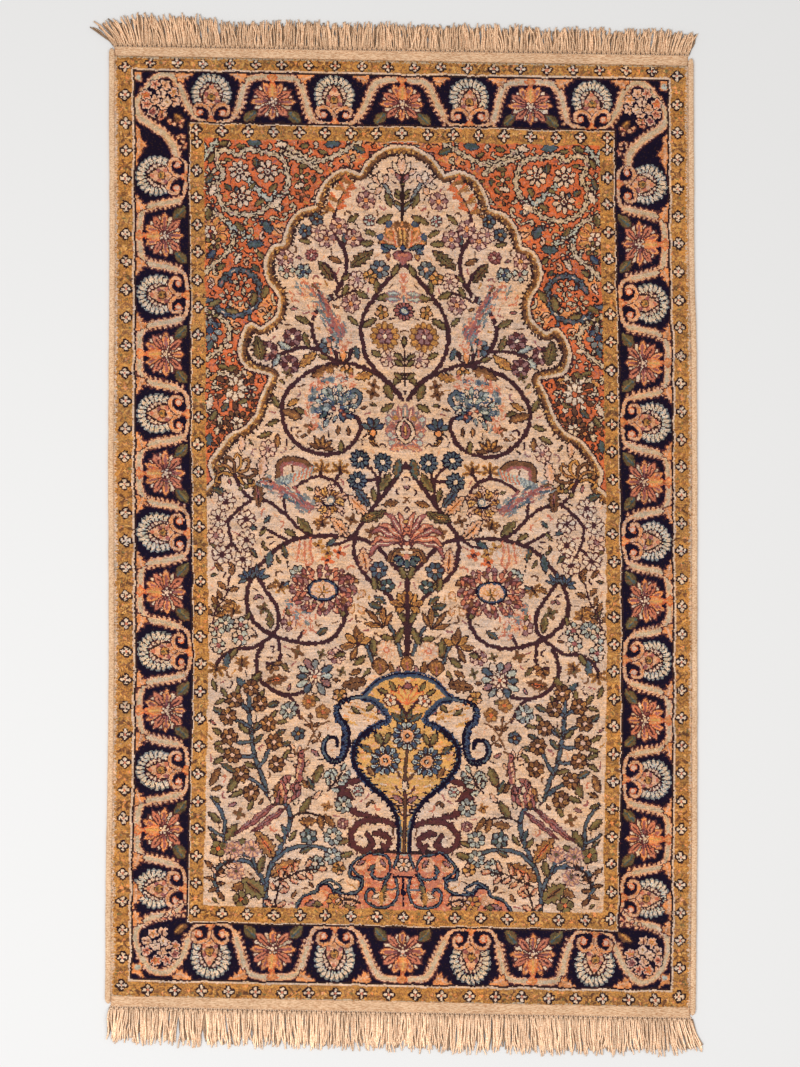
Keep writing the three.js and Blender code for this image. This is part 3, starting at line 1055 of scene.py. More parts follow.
STEMS = [  # yarn, edge, width, then the points of each stem
    ("plum", None, 3.0, [  # the scrolling vines, from the thickest to the thinnest twigs
        [528j, 10+517j, 21+503j, 29+490j, 31+476j, 28+461j, 20+450j, 10+441j, 2+430j],
        [4+433j, 14+444j, 26+451j, 42+455j, 58+453j, 74+445j, 86+431j, 88+416j,
         82+402j, 71+393j, 58+390j, 44+393j, 34+403j, 32+414j, 38+418j, 44+415j],
        [46+455j, 56+460j, 62+468j, 66+480j, 63+491j, 55+500j, 47+508j, 42+518j,
         41+532j, 46+542j, 54+548j],
        [384j, 8+373j, 18+359j, 28+346j, 34+337j, 38+331j],
        [302j, 10+312j, 22+325j, 36+331j, 52+332j, 68+331j, 84+327j, 96+319j, 106+308j,
         113+294j, 114+280j, 108+269j, 97+260j],
        [37+332j, 37+320j, 34+310j, 27+301j, 16+293j, 8+283j, 264j],
        [97+260j, 84+256j, 68+254j, 54+258j, 46+268j, 44+281j, 47+293j],
    ]),
    ("plum", None, 2.8, [
        [97+260j, 92+268j, 93+280j, 100+291j, 107+302j],
        [97+260j, 110+251j, 122+250j, 132+244j, 138+236j],
        [103+255j, 107+244j, 107+233j, 101+224j, 88+218j, 76+219j, 68+223j],
    ]),
    ("plum", None, 2.6, [
        [62+465j, 74+466j, 88+461j, 98+462j],
    ]),
    ("plum", None, 2.4, [
        [86+218j, 79+210j, 75+201j],
        [92+257j, 91+248j, 93+241j, 100+240j],
        [78+256j, 74+264j, 72+270j],
        [68+331j, 78+338j, 85+346j, 96+354j, 110+357j, 118+364j, 122+376j],
        [110+357j, 119+350j, 126+341j, 125+329j, 120+318j],
        [44+358j, 48+368j, 57+374j, 68+373j, 80+366j],
    ]),
    ("plum", None, 2.2, [
        [53+500j, 44+504j, 34+507j],
        [48+544j, 50+556j, 47+566j, 42+574j],
        [42+540j, 36+545j, 30+548j],
        [46+512j, 50+520j, 56+526j],
        [85+346j, 87+358j],
        [84+328j, 92+332j, 102+337j],
        [126+341j, 132+347j],
        [124+326j, 130+320j],
        [50+372j, 46+378j],
        [60+375j, 60+382j],
        [19+358j, 20+368j, 22+376j, 28+382j],
        [20+368j, 18+378j],
        [21+372j, 30+372j],
        [38+331j, 46+327j, 55+325j],
        [112+299j, 110+307j],
    ]),
    ("haze", "ink", 1.8, [  # the niche's top
        [2+566j, 8+574j, 12+582j, 16+588j],
    ]),
    ("ink", None, 2.2, [
        [536j, 588j],
    ]),
    ("steel", "ink", 2.0, [  # the shrub beside the vase
        [98+146j, 102+158j, 107+171j, 110+184j, 112+198j, 113+212j, 112+224j],
    ]),
    ("steel", "ink", 1.6, [
        [99+149j, 109+156j, 116+158j],
        [105+165j, 100+172j, 97+180j],
    ]),
    ("steel", "ink", 1.4, [
        [108+173j, 116+173j, 122+174j],
        [110+184j, 118+183j, 124+186j],
        [112+194j, 120+198j, 126+200j],
        [111+190j, 104+195j, 99+197j],
        [113+205j, 108+209j],
        [113+206j, 120+211j],
    ]),
    ("steel", "ink", 2.0, [  # the plant at the foot of the field
        [98+66j, 98+80j, 95+93j, 89+106j, 84+119j, 82+131j, 86+140j, 93+140j],
    ]),
    ("steel", "ink", 1.8, [
        [92+99j, 81+108j, 66+110j, 54+107j],
        [99+78j, 102+89j, 111+98j, 123+98j, 132+93j, 134+84j, 132+77j],
    ]),
    ("steel", "ink", 1.4, [
        [105+94j, 108+101j, 114+103j],
    ]),
    ("ink", None, 1.6, [
        [82+129j, 74+133j, 62+132j, 54+130j],
    ]),
    ("steel", "ink", 1.6, [
        [127+111j, 128+124j, 131+134j, 138+143j],
    ]),
    ("steel", "ink", 1.3, [
        [128+116j, 134+118j, 139+122j],
    ]),
    ("steel", "ink", 1.4, [
        [4+248j, 7+258j, 13+268j],
        [25+242j, 28+250j, 32+256j],
    ]),
    ("bronze", None, 1.4, [  # the bud beside the vase
        [70+182j, 66+190j, 62+196j, 56+200j],
        [66+190j, 70+198j, 76+204j],
    ]),
]
LEAVES = {  # yarn: foot and tip of each leaf, from the foot of the field up
    "olive": [
        (48+112j, 39+115j), (36+106j, 47+103j), (75+132j, 67+145j), (82+113j, 77+121j),
        (86+111j, 92+118j), (103+90j, 99+103j), (127+112j, 119+125j), (121+109j, 112+114j),
        (131+125j, 140+133j), (108+142j, 112+134j), (66+154j, 59+169j), (119+160j, 127+147j),
        (106+165j, 116+168j), (128+175j, 137+180j), (129+172j, 137+167j), (115+149j, 125+144j),
        (88+171j, 82+179j), (106+213j, 102+221j), (97+201j, 92+207j), (93+198j, 84+199j),
        (113+189j, 120+197j), (128+214j, 133+222j), (129+213j, 137+210j), (121+216j, 120+225j),
        (112+223j, 104+234j), (136+219j, 139+228j), (131+188j, 139+193j), (129+183j, 138+181j),
        (25+245j, 19+257j), (29+246j, 39+240j), (9+255j, 3+268j), (9+259j, 20+260j),
        (121+251j, 127+242j), (83+270j, 85+280j), (45+273j, 50+283j), (112+277j, 116+268j),
        (134+275j, 139+286j), (18+294j, 25+304j), (29+342j, 14+350j), (78+331j, 87+336j),
        (128+379j, 137+377j), (46+391j, 46+401j), (95+405j, 105+401j), (90+413j, 100+410j),
        (20+501j, 8+504j), (20+505j, 19+516j), (9+517j, 4+527j), (35+507j, 25+502j),
        (44+503j, 39+512j), (15+460j, 24+464j), (9+440j, 1+449j), (62+461j, 54+458j),
        (9+429j, 14+442j), (8+427j, 18+421j), (90+422j, 95+432j), (33+483j, 40+489j),
        (30+481j, 20+488j), (22+356j, 24+367j), (40+556j, 31+562j), (31+541j, 20+542j),
        (27+551j, 18+547j), (7+562j, 19+556j), (8+567j, 12+578j), (66+541j, 75+543j),
        (44+514j, 38+520j), (100+337j, 104+331j),
    ],
    "moss": [
        (97+265j, 99+278j), (19+364j, 11+378j), (67+333j, 78+345j), (67+483j, 78+488j),
        (71+419j, 79+423j), (84+234j, 90+241j), (68+466j, 72+477j), (138+143j, 131+140j),
        (62+214j, 70+217j), (90+311j, 93+317j),
    ],
    "teal": [
        (66+109j, 75+105j), (66+149j, 70+159j), (121+161j, 131+167j), (90+181j, 82+184j),
        (109+182j, 102+189j), (100+209j, 91+213j), (94+188j, 86+193j), (110+191j, 105+198j),
        (130+202j, 138+208j), (65+261j, 56+266j), (8+373j, 4+388j), (88+326j, 85+315j),
        (112+322j, 107+315j), (133+322j, 141+325j), (127+360j, 138+365j), (139+118j, 133+113j),
    ],
    "steel": [
        (84+117j, 88+125j), (114+222j, 122+230j), (128+247j, 130+234j), (50+330j, 58+324j),
        (97+321j, 99+308j), (106+335j, 114+340j), (33+458j, 36+468j), (78+282j, 82+288j),
        (5+552j, 13+557j), (12+550j, 17+541j), (8+538j, 15+534j), (84+299j, 90+292j),
        (101+340j, 96+345j), (99+66j, 94+71j), (43+540j, 38+552j),
    ],
    "haze": [
        (80+464j, 91+469j), (88+461j, 94+452j), (40+166j, 44+155j), (52+166j, 58+158j),
    ],
    "ochre": [
        (57+133j, 50+123j), (62+128j, 76+127j), (109+84j, 122+77j), (134+92j, 141+98j),
        (134+88j, 127+92j), (134+85j, 141+86j), (133+82j, 126+82j), (132+79j, 139+76j),
        (132+77j, 127+70j), (17+354j, 6+357j), (44+527j, 54+531j), (100+293j, 94+298j),
        (131+246j, 139+249j), (122+306j, 128+312j), (131+305j, 137+311j), (70+150j, 74+158j),
    ],
    "bronze": [
        (61+133j, 58+121j), (139+151j, 133+165j), (138+148j, 130+151j), (34+298j, 47+304j),
        (91+404j, 92+393j), (89+421j, 73+416j), (48+453j, 67+445j), (29+228j, 45+226j),
    ],
    "gold": [
        (22+402j, 27+410j), (85+424j, 75+429j), (22+448j, 37+445j), (63+463j, 76+452j),
    ],
    "blush": [
        (117+390j, 117+403j), (101+389j, 104+371j), (60+150j, 66+143j),
    ],
}
BLOSSOMS = [  # radius, petals, every other petal, heart, how many petals, outline, places
    (6.3, "bronze", "ochre", "blush", 7, "ink", [  # the shrub's blossoms
        92+168j, 117+160j, 110+147j, 123+174j, 126+187j, 94+184j, 98+197j, 127+201j,
        105+211j, 123+213j, 111+222j]),
    (6.8, "steel", "haze", "peach", 7, "ink", [54+468j, 17+523j]),
    (7, "petal", "ivory", "plum", 8, "maroon", [114+343j, 114+328j, 117+314j, 128+355j, 134+343j,
                                               132+317j]),
    (7, "blush", "mauve", "orange", 8, "maroon", [35+545j, 46+553j, 55+544j, 38+498j, 26+572j]),
    (6.6, "blush", "petal", "mauve", 8, "maroon", [136+330j, 61+549j, 98+393j, 11+459j, 33+515j]),
    (6.6, "ice", "haze", "petal", 8, "ink", [51+117j, 51+103j, 63+97j, 44+140j, 84+207j,
                                             129+268j, 77+304j]),
    (6.2, "petal", "ice", "rose", 7, "ink", [118+267j, 136+264j, 119+258j, 135+252j, 84+521j]),
    (7, "mauve", "maroon", "ivory", 8, "plum", [80+473j, 82+454j, 97+463j]),
    (6.6, "teal", "haze", "ice", 6, "ink", [68+117j]),
    (5.4, "ochre", "gold", "rust", 5, "bronze", [60+206j, 70+213j]),
    (6, "ice", "steel", "blue", 6, "ink", [72+520j]),
    (6.2, "blush", "mauve", "gold", 7, "maroon", [51+246j, 75+276j, 84+269j, 85+530j]),
    (5.2, "gold", "peach", "olive", 5, "ink", [46+95j, 24+517j, 16+492j, 48+218j, 42+449j]),
    (6.2, "moss", "olive", "rust", 4, "ink", [115+71j, 132+107j]),
]
DAISIES = [  # radius, petals, heart, how many petals, outline, places
    (7, "steel", "ivory", 10, "navy", [16.5+385j, 33+387j, 35+371.5j]),
    (6.4, "peach", "olive", 9, "mauve", [108+107j, 121+106j, 119+91j]),
    (5, "steel", "gold", 5, "ink", [62+558j, 70+549j, 77+190j]),
]
SPECKS = [  # radius, petals, heart, places
    (5, "rust", "plum", [48+320j, 57+314.5j]),
    (4.6, "gold", "plum", [63+325j, 57+320j]),
    (5, "bronze", "ink", [39+344j, 25+335j, 62+340j, 68+409j, 22+440j, 23+434j]),
    (5, "bronze", "olive", [79+248j, 124+277j, 103+279j, 118+132j, 96+237j, 118+238j]),
    (4, "olive", "ink", [47+235j, 61+247j, 84+447j, 102+279j]),
]


def ring_flower(place, wide, tall):
    """An oval wreath of small rose petals round a pale heart in a blue ring."""
    for scale, count, yarns in (
        (1.0, 24, ("rose", "salmon", "mauve")), (0.82, 19, ("salmon", "rose", "bronze")),
        (0.66, 15, ("rose", "mauve", "salmon")),
    ):
        for number in range(count):
            way = turn((number + 0.5 * scale) * 360 / count)
            spot = place + scale * (wide * way.real + 1j * tall * way.imag)
            lean = way * turn(34 if number % 2 else -20)
            shape(at(spot - 2.8 * lean, lean)(blade(6.6, 3.2, 1.4)), yarns[number % 3], "maroon")
            if number % 4 == 0:
                dot(spot, 0.9, "moss" if number % 8 else "peach")
    for reach, yarn, edge in ((0.52, "steel", "navy"), (0.44, "blush", "blue")):
        shape(place + reach * oval(wide, tall, 20), yarn, edge, 1.2)
    for angle, reach in ((60, 6), (100, 5), (140, 6), (10, 6), (170, 6), (250, 4), (310, 5)):
        line([place - 2j, place - 2j + reach * turn(angle)], 1.3, "gold" if reach > 5 else "olive")
    for spot in (-6+2j, 5+3j, 7-2j, -7-2j, 5j):
        dot(place + spot, 1.4, "ivory", "peach")
    dot(place - 2j, 1.1, "brown")


def plume(points, wide, seed):
    """A soft broad streak of short salmon and blush strokes, with grey-blue flecks in its middle."""
    rng = np.random.default_rng(seed)
    curve = spline(points, steps=8)
    for number in range(5 * len(curve)):
        i = rng.integers(len(curve) - 1)
        way = (curve[i + 1] - curve[i]) / abs(curve[i + 1] - curve[i])
        across = rng.normal(0, 0.4) * wide
        spot = curve[i] + 1j * way * across
        yarn = ("salmon", "blush", "peach", "salmon", "petal")[number % 5]
        if abs(across) < 0.22 * wide and i % 8 < 4:
            yarn = ("steel", "haze", "haze")[number % 3]
        end = spot + rng.uniform(1.6, 3.6) * way * turn(rng.uniform(-60, 60))
        line([spot, end], rng.uniform(1.0, 1.7), yarn)


def great_flower(place):
    """The wide flower in the large scrolls: small pale petals, blue flecks and soft rose knobs."""
    plume(place + np.array([11-20j, 16-8j, 17+4j, 11+14j, -1+17j, -12+14j]), 6, 5)
    for spot, size in ((17+3j, 3.0), (4+16j, 2.8)):
        dot(place + spot, size, "haze")
        dot(place + spot, 0.6 * size, "steel")
    curl = place + spline([-10-2j, -15-1j, -17+5j, -13+9j, -9+7j], steps=4)
    outlined(curl, 2.2, "steel", "navy", 3.8)
    petals = ("ice", "petal", "haze", "ice", "ivory")
    for radius, reach, count in ((8.5, 7.0, 13), (2.5, 6.5, 9)):
        for number, angle in enumerate(np.linspace(172, -8, count)):
            put = at(place + (-4j), turn(angle))
            shape(put(radius + blade(reach * (1 + 0.12 * (number % 3)), 3.6, 1.7)), petals[number % 5],
                  ("blue", "ink", "teal")[number % 3])
            line(put([radius + 1.5, radius + 0.6 * reach]), 0.8, "steel")
    for foot, tip, yarn in (
        (-6-8j, -14-11j, "blue"), (-3-9j, -10-5j, "steel"), (3-8j, 8-13j, "petal"),
        (-2-7j, -6-14j, "blue"), (-9j, 2-15j, "ice"), (6-7j, 13-11j, "steel"),
        (-8-4j, -14-6j, "petal"), (6-11j, 9-18j, "ice"),
    ):
        leaf(place + foot, place + tip, yarn, 0.5, "navy")
    for spot in (-3-6j, 2-5j, -6-9j):
        dot(place + spot, 1.5, "salmon", "maroon")


def gold_flower(place):
    """A rosette of curling gold petals about a white heart and a dark blue crescent."""
    lengths = (11.5, 13.5, 10.5, 12.5, 9, 13, 11, 14, 9.5, 12.5, 10.5, 12)
    for number, length in enumerate(lengths):
        way = turn(number * 360 / len(lengths) + 6 * (number % 2))
        yarn = ("gold", "peach", "amber", "blush")[number % 4]
        shape(at(place, way)(3 + blade(length - 3, 4.8, 1.6)), yarn, "plum")
        shape(at(place + way * (length - 3), way * turn(50))(blade(4, 2.6, 1.2)), yarn, "plum")
        line(place + way * np.array([5, length - 4]), 0.8, "bronze")
    line(place + ring(0, 3.6)[6:], 2.0, "navy")
    dot(place - 1.2 + 0.6j, 2.4, "ivory", "haze")


def rose_lotus(place):
    """The fan of wavy rose ribbons on the middle line, over a brown and blue cup."""
    ribbons = (("rose", 84, 26), ("salmon", 68, 25), ("rose", 53, 28), ("salmon", 38, 26), ("rose", 24, 30),
               ("salmon", 9, 28))
    for yarn, angle, reach in ribbons:
        bends = np.array([0.2, 0.42, 0.68, 0.88, 1.0])
        way = turn(90 - angle * np.array([0.4, 0.5, 0.84, 0.92, 1.14]))
        curve = spline(place - 17j + reach * bends * way, steps=4)
        wide = np.interp(np.linspace(0, 1, len(curve)), [0, 0.4, 0.8, 1], [1.4, 3.4, 2.6, 0.6])
        outlined(curve, wide, yarn, "maroon", wide + 1.6)
        line(curve[6:13], 0.8, "petal")
    for height, size, yarn in ((-1j, 2.2, "salmon"), (-7j, 2.6, "petal"), (5j, 1.8, "amber")):
        dot(place + height, size, yarn, "maroon")
    for bend in (0, 2.8):
        cup = [3 - (16 + bend) * 1j, 7 - (15.5 + bend) * 1j, 11 - bend - 18j, 13 - bend - 23j]
        outlined(place + spline(cup, steps=4), 2.2, "ochre" if bend else "bronze", "ink", 3.6)
    dot(place - 20j, 2.4, "salmon")
    for spot, facing in ((3-21j, -12), (2.5-22j, -48), (-22j, -90)):
        leaf(place + spot, place + spot + 7 * turn(facing), "steel", 0.75, "navy")
    for spot in (2.6-17j, 1.6-13j):
        dot(place + spot, 1.3, "ivory")


def star_petals(place, tips, wide, yarns):
    """Pointed petals from one place out to each of the tips."""
    for number, tip in enumerate(tips):
        put = at(place, tip / abs(tip))
        yarn = yarns[number % len(yarns)]
        shape(put(1 + blade(abs(tip) - 1, wide, 1.2)), yarn, "ink")
        line(put(np.array([0.35, 0.75]) * abs(tip)), 1.0, SECOND[yarn])


def fountain():
    """The stem on the middle line above the vase, with its bell, leaves, lilies and buds."""
    stem([246j, 272j, 300j], 4.4, "plum")
    leaves({
        "olive": [(1+301j, 6+312j), (1+270j, 7+279j), (22+293j, 24+304j),
                  (24+246j, 25+260j), (27+237j, 32+231j), (44+249j, 52+246j)],
        "teal": [(15+284j, 23+290j), (17+281j, 28+284j), (15+279j, 23+276j)],
        "ochre": [(11+234j, 13+243j), (33+237j, 41+233j)],
        "rose": [(8+233j, 6+240j)],
    }, 0.5)
    star_petals(1+282j, [8-4j, 11+4j, 6+10j, 1+12j], 4.6, ["gold", "ochre"])
    line([276j, 290j], 3.0, "plum")
    star_petals(17+266j, [-6+12j, 16j, 12+14j, 14+4j], 3.8, ["bronze", "ochre"])
    star_petals(35.5+254j, [1+14j, 8+8j, 13-1j, 5-11j, -10+5j, -3+9j], 4.8,
                ["bronze", "gold", "ochre"])
    dot(35.5+254j, 1.8, "plum")
    for tip in (-4+6j, 7+3j, 5-7j, -4-6j):
        put = at(36+285j, tip / abs(tip))
        shape(put(2 + blade(8, 5.2, 1.8)), "peach", "ochre")
        line(put([4.5, 7.5]), 1.4, "petal")
    blossom(20+308j, 6.6, "steel", "peach", 7, "ink", 10)
    blossom(14+297j, 5.2, "teal", "ivory", 5, "ink", 40)
    petals(15+251j, 8, (2, 5, 3.4, 1.7), ["petal"], "peach", phase=20, rim=0.9)
    dot(15+251j, 1.8, "blush", "salmon")
    saw_leaf(29+306j, 31+324j, "peach", 0.44, "orange", 5, "maroon")
    saw_leaf(29+228j, 47+225j, "bronze", 0.42, "ochre", 4)
    for place, tall, wide in ((20+232.5j, 13, 11), (234.5j, 13, 10)):
        put = at(place, 1j)
        shape(put(blade(tall, wide, 1.1)), "bronze", "ink")
        for side in (1, -1):
            curl = [2 + 1j * side, 6 + 3j * side, 10 + 2j * side, 9 + 0.6j * side, 7 + 1j * side]
            line(put(spline(curl, steps=3)), 1.2, "ochre")
        line(put([2, 0.6 * tall]), 1.4, "rose")


def middle_palmette(place):
    """The upright palmette on the middle line: soft rose and blue petals round a ringed heart."""
    for angle, length, yarn in (
        (100, 12, "ice"), (76, 15, "salmon"), (58, 17, "haze"), (42, 19, "salmon"), (27, 20, "haze"),
        (14, 21, "rose"), (0, 22, "haze"), (128, 12, "salmon"), (152, 11, "haze"),
    ):
        way = turn(90 - angle)
        shape(at(place - 3j, way)(5 + blade(length - 5, 4.6, 1.4)), yarn, "mauve")
        line(place - 3j + way * np.array([7, length - 3]), 1.1, "blush")
    for spot, yarn in ((6+9j, "gold"), (9+3j, "rose"), (11-3j, "ice"), (10-9j, "ice"),
                       (6-12j, "rose"), (12+8j, "ice")):
        dot(place + spot, 2.4, yarn, "mauve")
    line(place + np.array([-1-12j, 8-11j]), 3.0, "salmon")
    for reach, wide, yarn in ((21, 15.5, "ink"), (19, 13.4, "petal"), (15, 8.8, "ink"), (13, 7, "rose"),
                              (10, 3.4, "maroon"), (8, 2, "amber")):
        fill(at(place - 0.5j * reach, 1j)(blade(reach, wide, 0.85)), yarn)
    for side_leaf in (3-13j, 8-14j):
        leaf(place - 11j, place + side_leaf + 4, "salmon", 0.4, "mauve")


def crown_flower(place):
    """The wide, low orange flower at the head of the vines, flecked with blue, over a small rose cup."""
    base = place - 13j
    for angle, length, yarn, tint in (
        (74, 17, "orange", "rust"), (56, 19, "peach", "salmon"), (38, 20, "orange", "ochre"),
        (20, 19, "peach", "bronze"), (0, 19, "orange", "bronze"),
    ):
        for side in (-1, 1) if angle else (1,):
            way = 1j * turn(-side * angle)
            shape(base + way * (2 + blade(length - 2, 6.4, 1.5)), yarn, "ochre", 0.9)
            line(base + way * np.array([5, 0.82 * length]), 1.5, tint)
    for side in (-1, 1):
        fill(ring(place + 3.2 * side + 3.6j, 2.6, 8), "bronze")
        fill(ring(place + 7.6 * side + 3.0j, 1.8, 8), "ochre")
        for reach, yarn in ((1.2, "amber"), (3.2, "bronze"), (5.0, "peach"), (6.6, "rust")):
            line([base + 0.8 * reach * side + 2j, base + reach * side + 12j], 1.2, yarn)
        for spot in (9.4+4.6j, 15.4-4.4j, 12.8-12.6j):
            dot(place + spot.real * side + 1j * spot.imag, 2.1, "steel", "blue")
        leaf(base + 3.6 * side - 1j, base + 15 * side + 2.6j, "steel", 0.3, "navy")
        leaf(base + 10 * side - 3j, base + 11 * side - 9j, "gold", 0.6, "maroon")
        shape(ring(base + 3.4 * side - 5.6j, 3.5, 8), "rose", "maroon", 1.0)
    fill(base + np.array([-5-6j, 5-6j, 1-12j, -1-12j]), "rose")
    line([base - 3 - 5j, base + 3 - 5j], 1.6, "salmon")
    shape(base + np.array([-2.4, 3j, 2.4, -3j]), "blue", "navy", 0.9)


def pheasant(place, facing):
    """A long-tailed bird in soft feathery strokes, facing the way given."""
    put = at(place, turn(facing))
    rng = np.random.default_rng(int(place.real))
    fill(put([-28+3j, -10+4j, 4+3j, 13+2j, 13, 4-2j, -10-3j, -27-3j]), "mauve")
    for number in range(120):
        along = rng.uniform(-27, 13)
        across = rng.normal(0, 2.2 + 0.06 * max(-along - 4, 0))
        slant = turn(rng.uniform(-16, 16) + (8 if across > 0 else -8))
        yarn = ("rose", "salmon", "haze", "rose", "steel", "blush")[number % 6]
        if abs(across) > 3 and number % 2:
            yarn = "haze"
        start = along + 1j * across
        line(put([start, start + rng.uniform(2, 4.5) * slant]), rng.uniform(1.0, 1.9), yarn)
    line(put(spline([-22, -12+1j, 1j, 9+1j], steps=4)), 1.6, "rose")
    line(put([11+1j, 15]), 1.8, "bronze")
    dot(put(9+1.4j), 1.0, "ink")


def perched_bird():
    """The bird on the plant at the foot: scaled breast, raised neck and two long tail feathers."""
    for start, end in ((91+141j, 121+116j), (84+138j, 110+118j)):
        leaf(start, end, "rose", 0.14, "maroon")
        line([start, end], 0.8, "maroon")
    shape([79+155j, 78+168j, 76+178j, 73+179j, 73+167j, 74+156j], "rose", "ink")
    line([77.5+158j, 75.5+172j], 1.6, "peach")
    for height in (160, 164, 168, 172):
        line([74 + height * 1j, 77 + (height + 1.6) * 1j], 0.9, "maroon")
    line([73+178j, 69+180j], 1.3, "bronze")
    dot(74.5+176j, 0.8, "ink")
    body = [97+143j, 92+153j, 86+160j, 79+159j, 75+151j, 79+143j, 87+140j]
    shape(spline(body, True, 4), "rose", "ink")
    rows = {139: (79, 84, 89, 94), 144: (78, 83, 88, 93, 97), 149: (79, 84, 89, 93), 154: (81, 86)}
    feet = [x + 1j * y for y, row in rows.items() for x in row]
    for number, foot in enumerate(feet):
        scale = ("vine", "salmon", "bronze", "petal", "mauve")[number % 5]
        leaf(foot, foot + 6.5 * turn(112 - 9 * (number % 4)), scale, 0.62)


SAW_LEAVES = [  # foot, tip, yarn, plumpness, tint
    (95+88j, 73+100j, "ochre", 0.36, "rust"), (92+101j, 106+120j, "ochre", 0.36, "rust"),
    (99+73j, 115+86j, "moss", 0.5, "bronze"), (38+524j, 21+537j, "olive", 0.3, "moss"),
    (50+514j, 61+528j, "olive", 0.3, "bronze"), (102+456j, 106+474j, "olive", 0.45, "moss"),
    (27+347j, 42+362j, "peach", 0.34, "orange"), (26+353j, 37+367j, "steel", 0.3, "blue"),
    (41+331j, 54+345j, "peach", 0.4, "orange"), (105+351j, 106+370j, "bronze", 0.36, "rose"),
    (33+343j, 17+349j, "olive", 0.3, "gold"), (26+403j, 20+396j, "gold", 0.3, "peach"),
]
SPRIGS = [  # points, yarn, pairs of leaves, size, vine
    ([92+64j, 91+72j, 88+82j], "salmon", 2, 8, "ink"),
    ([92+84j, 83+87j, 73+92j, 62+93j], "salmon", 4, 8, "ink"),
    ([139+268j, 136+278j, 130+287j, 126+302j], "ochre", 4, 8, "plum"),
    ([54+563j, 58+566j], "bronze", 1, 5, "brown"),
    ([440j, 468j], "olive", 3, 8, "ink"),
    ([566j, 582j], "olive", 3, 6, "ink"),
    ([60+184j, 66+190j, 68+200j], "ochre", 2, 5, "bronze"),
    ([56+150j, 50+156j, 46+164j], "haze", 3, 7, "ink"),
    ([72+163j, 76+172j, 80+178j], "blush", 2, 6, "bronze"),
    ([134+84j, 128+95j, 121+99j], "peach", 3, 6, "ink"),
]


def feathered_twig():
    """The twig under the niche's top lobes, with soft ochre and rust sprays on both sides."""
    stem([49+560j, 46+569j, 41+577j, 35+585j], 1.8, "plum")
    for foot, side in ((48+564j, 1), (48+566j, -1), (45+571j, 1), (44+573j, -1),
                       (40+579j, 1), (41+579j, -1), (36+584j, 1)):
        for bend, yarn in ((-22, "ochre"), (16, "rust"), (-4, "ochre" if side > 0 else "rust")):
            line([foot + 1.5 * side, foot + 7.5 * turn(90 - 60 * side + bend)], 2.0, yarn)


def buds():
    """Lilies, hands of narrow leaves and pointed buds at the ends of the twigs."""
    lily(107+301j, 90, 9, "steel", "blue")
    lily(113+300j, 60, 8, "steel", "blue")
    lily(60+394j, 100, 10, "bronze", "gold")
    for place, facing, size in (
        (60+379j, 90, 8), (47+379j, 95, 8), (60+341j, 80, 6), (124+277j, 90, 7),
        (118+240j, 90, 6), (90+296j, -60, 7), (136+236j, -80, 8),
    ):
        fingers(place, facing, size)
    saw_leaf(101+226j, 84+230j, "bronze", 0.4, "rust", 4, None)
    star_petals(97+240j, [-8+1j, -5-5j, 3-5j], 4.2, ["bronze", "ochre"])
    plume([86+285j, 80+277j, 76+266j], 6, 9)
    plume([70+280j, 73+271j, 70+262j], 5, 10)
    star_petals(23+408j, [-8+4j, -3+9j, 3+9j, 8+4j], 4.2, ["blue", "steel"])
    dot(23+406j, 2.6, "orange", "ink")
    star_petals(589j, [11+6j, 7+11j, 2+14j], 4.4, ["blush", "petal"])
    star_petals(584j, [5+8j], 3.4, ["rose"])
    star_petals(15+583j, [7+7j, 10-1j, 4-7j, -4+8j, 2+10j], 4.8, ["blush", "petal", "peach"])
    tulip(44+456j, 90, 10, "plum", "orange")


def curly_flower():
    """A flower of gold and brown curls by the niche's foot, with three green knots under it."""
    for number, angle in enumerate((-100, -64, -28, 8, 44, 82, 120)):
        curl = spline([3, 8+1.4j, 12.5-0.5j, 14-3.6j, 11.5-4.6j], steps=3)
        outlined(121 + 374j + turn(100 + angle) * curl, 1.5, ("gold", "ochre", "bronze")[number % 3],
                 "ink", 3.0)
    for spot in (114+366j, 118+364j, 111+370j):
        dot(spot, 1.8, "moss", "ink")


def pale_fan():
    """Faint petals inside the lower scroll, with wavy salmon threads hanging over them."""
    fan(at(73+312j, turn(92)), (60, -50, 38, -30, 16, -10), 16, 4.6, "petal", "peach")
    for points in ([68+330j, 69+322j, 67+314j, 70+310j], [76+328j, 77+320j, 78+314j],
                   [72+327j, 73+318j, 71+311j]):
        thread = spline(points, steps=4)
        line(thread, 1.6, "salmon")
        line(thread[2:-2] + 1.8, 1.2, "peach")


def rosettes():
    """Three round flowers of separate petals, and the plume and leaves over the uppermost."""
    grey, gold, rose = 66 + 231j, 14 + 475j, 493j
    petals(grey, 12, (4, 9 + np.arange(12) % 3, 4.8, 1.6),
           ["steel", "ice", "mauve", "haze", "petal"], "ink")
    petals(gold, 12, (3.5, 7.5, 4, 1.5), ["gold"], "bronze")
    petals(rose, 12, (2, 5, 3, 1.6), ["rose"], "ink")
    blossom(grey, 5.6, "ivory", "salmon", 7, "maroon")
    blossom(gold, 6.4, "mauve", "ivory", 6, "maroon")
    dot(rose, 2.6, "ice", "blue")
    plume([500j, 520j], 3.4, 4)
    for height in (502, 506):
        leaf(2 + height * 1j, 13 + (height - 1) * 1j, "haze", 0.4, "mauve")


def birds():
    """A pheasant under a spread wing, one with a long soft tail, and the perched bird."""
    wing = spline([68+380j, 74+385j, 84+386j, 90+382j, 91+374j], steps=5)
    outlined(wing, 3.6, "bronze", "ink", 5.4)
    line(shifted(wing, 2.6), 2.4, "rose")
    for spot in np.linspace(66+380j, 92+371j, 19):
        line([spot + 1j, spot + 2 - 5j], 1.6, ("haze", "salmon", "ice")[int(spot.real) % 3])
    pheasant(90+364j, 32)
    plume([78+511j, 67+503j, 57+492j, 49+478j, 42+466j], 10, 6)
    pheasant(58+498j, 62)
    perched_bird()


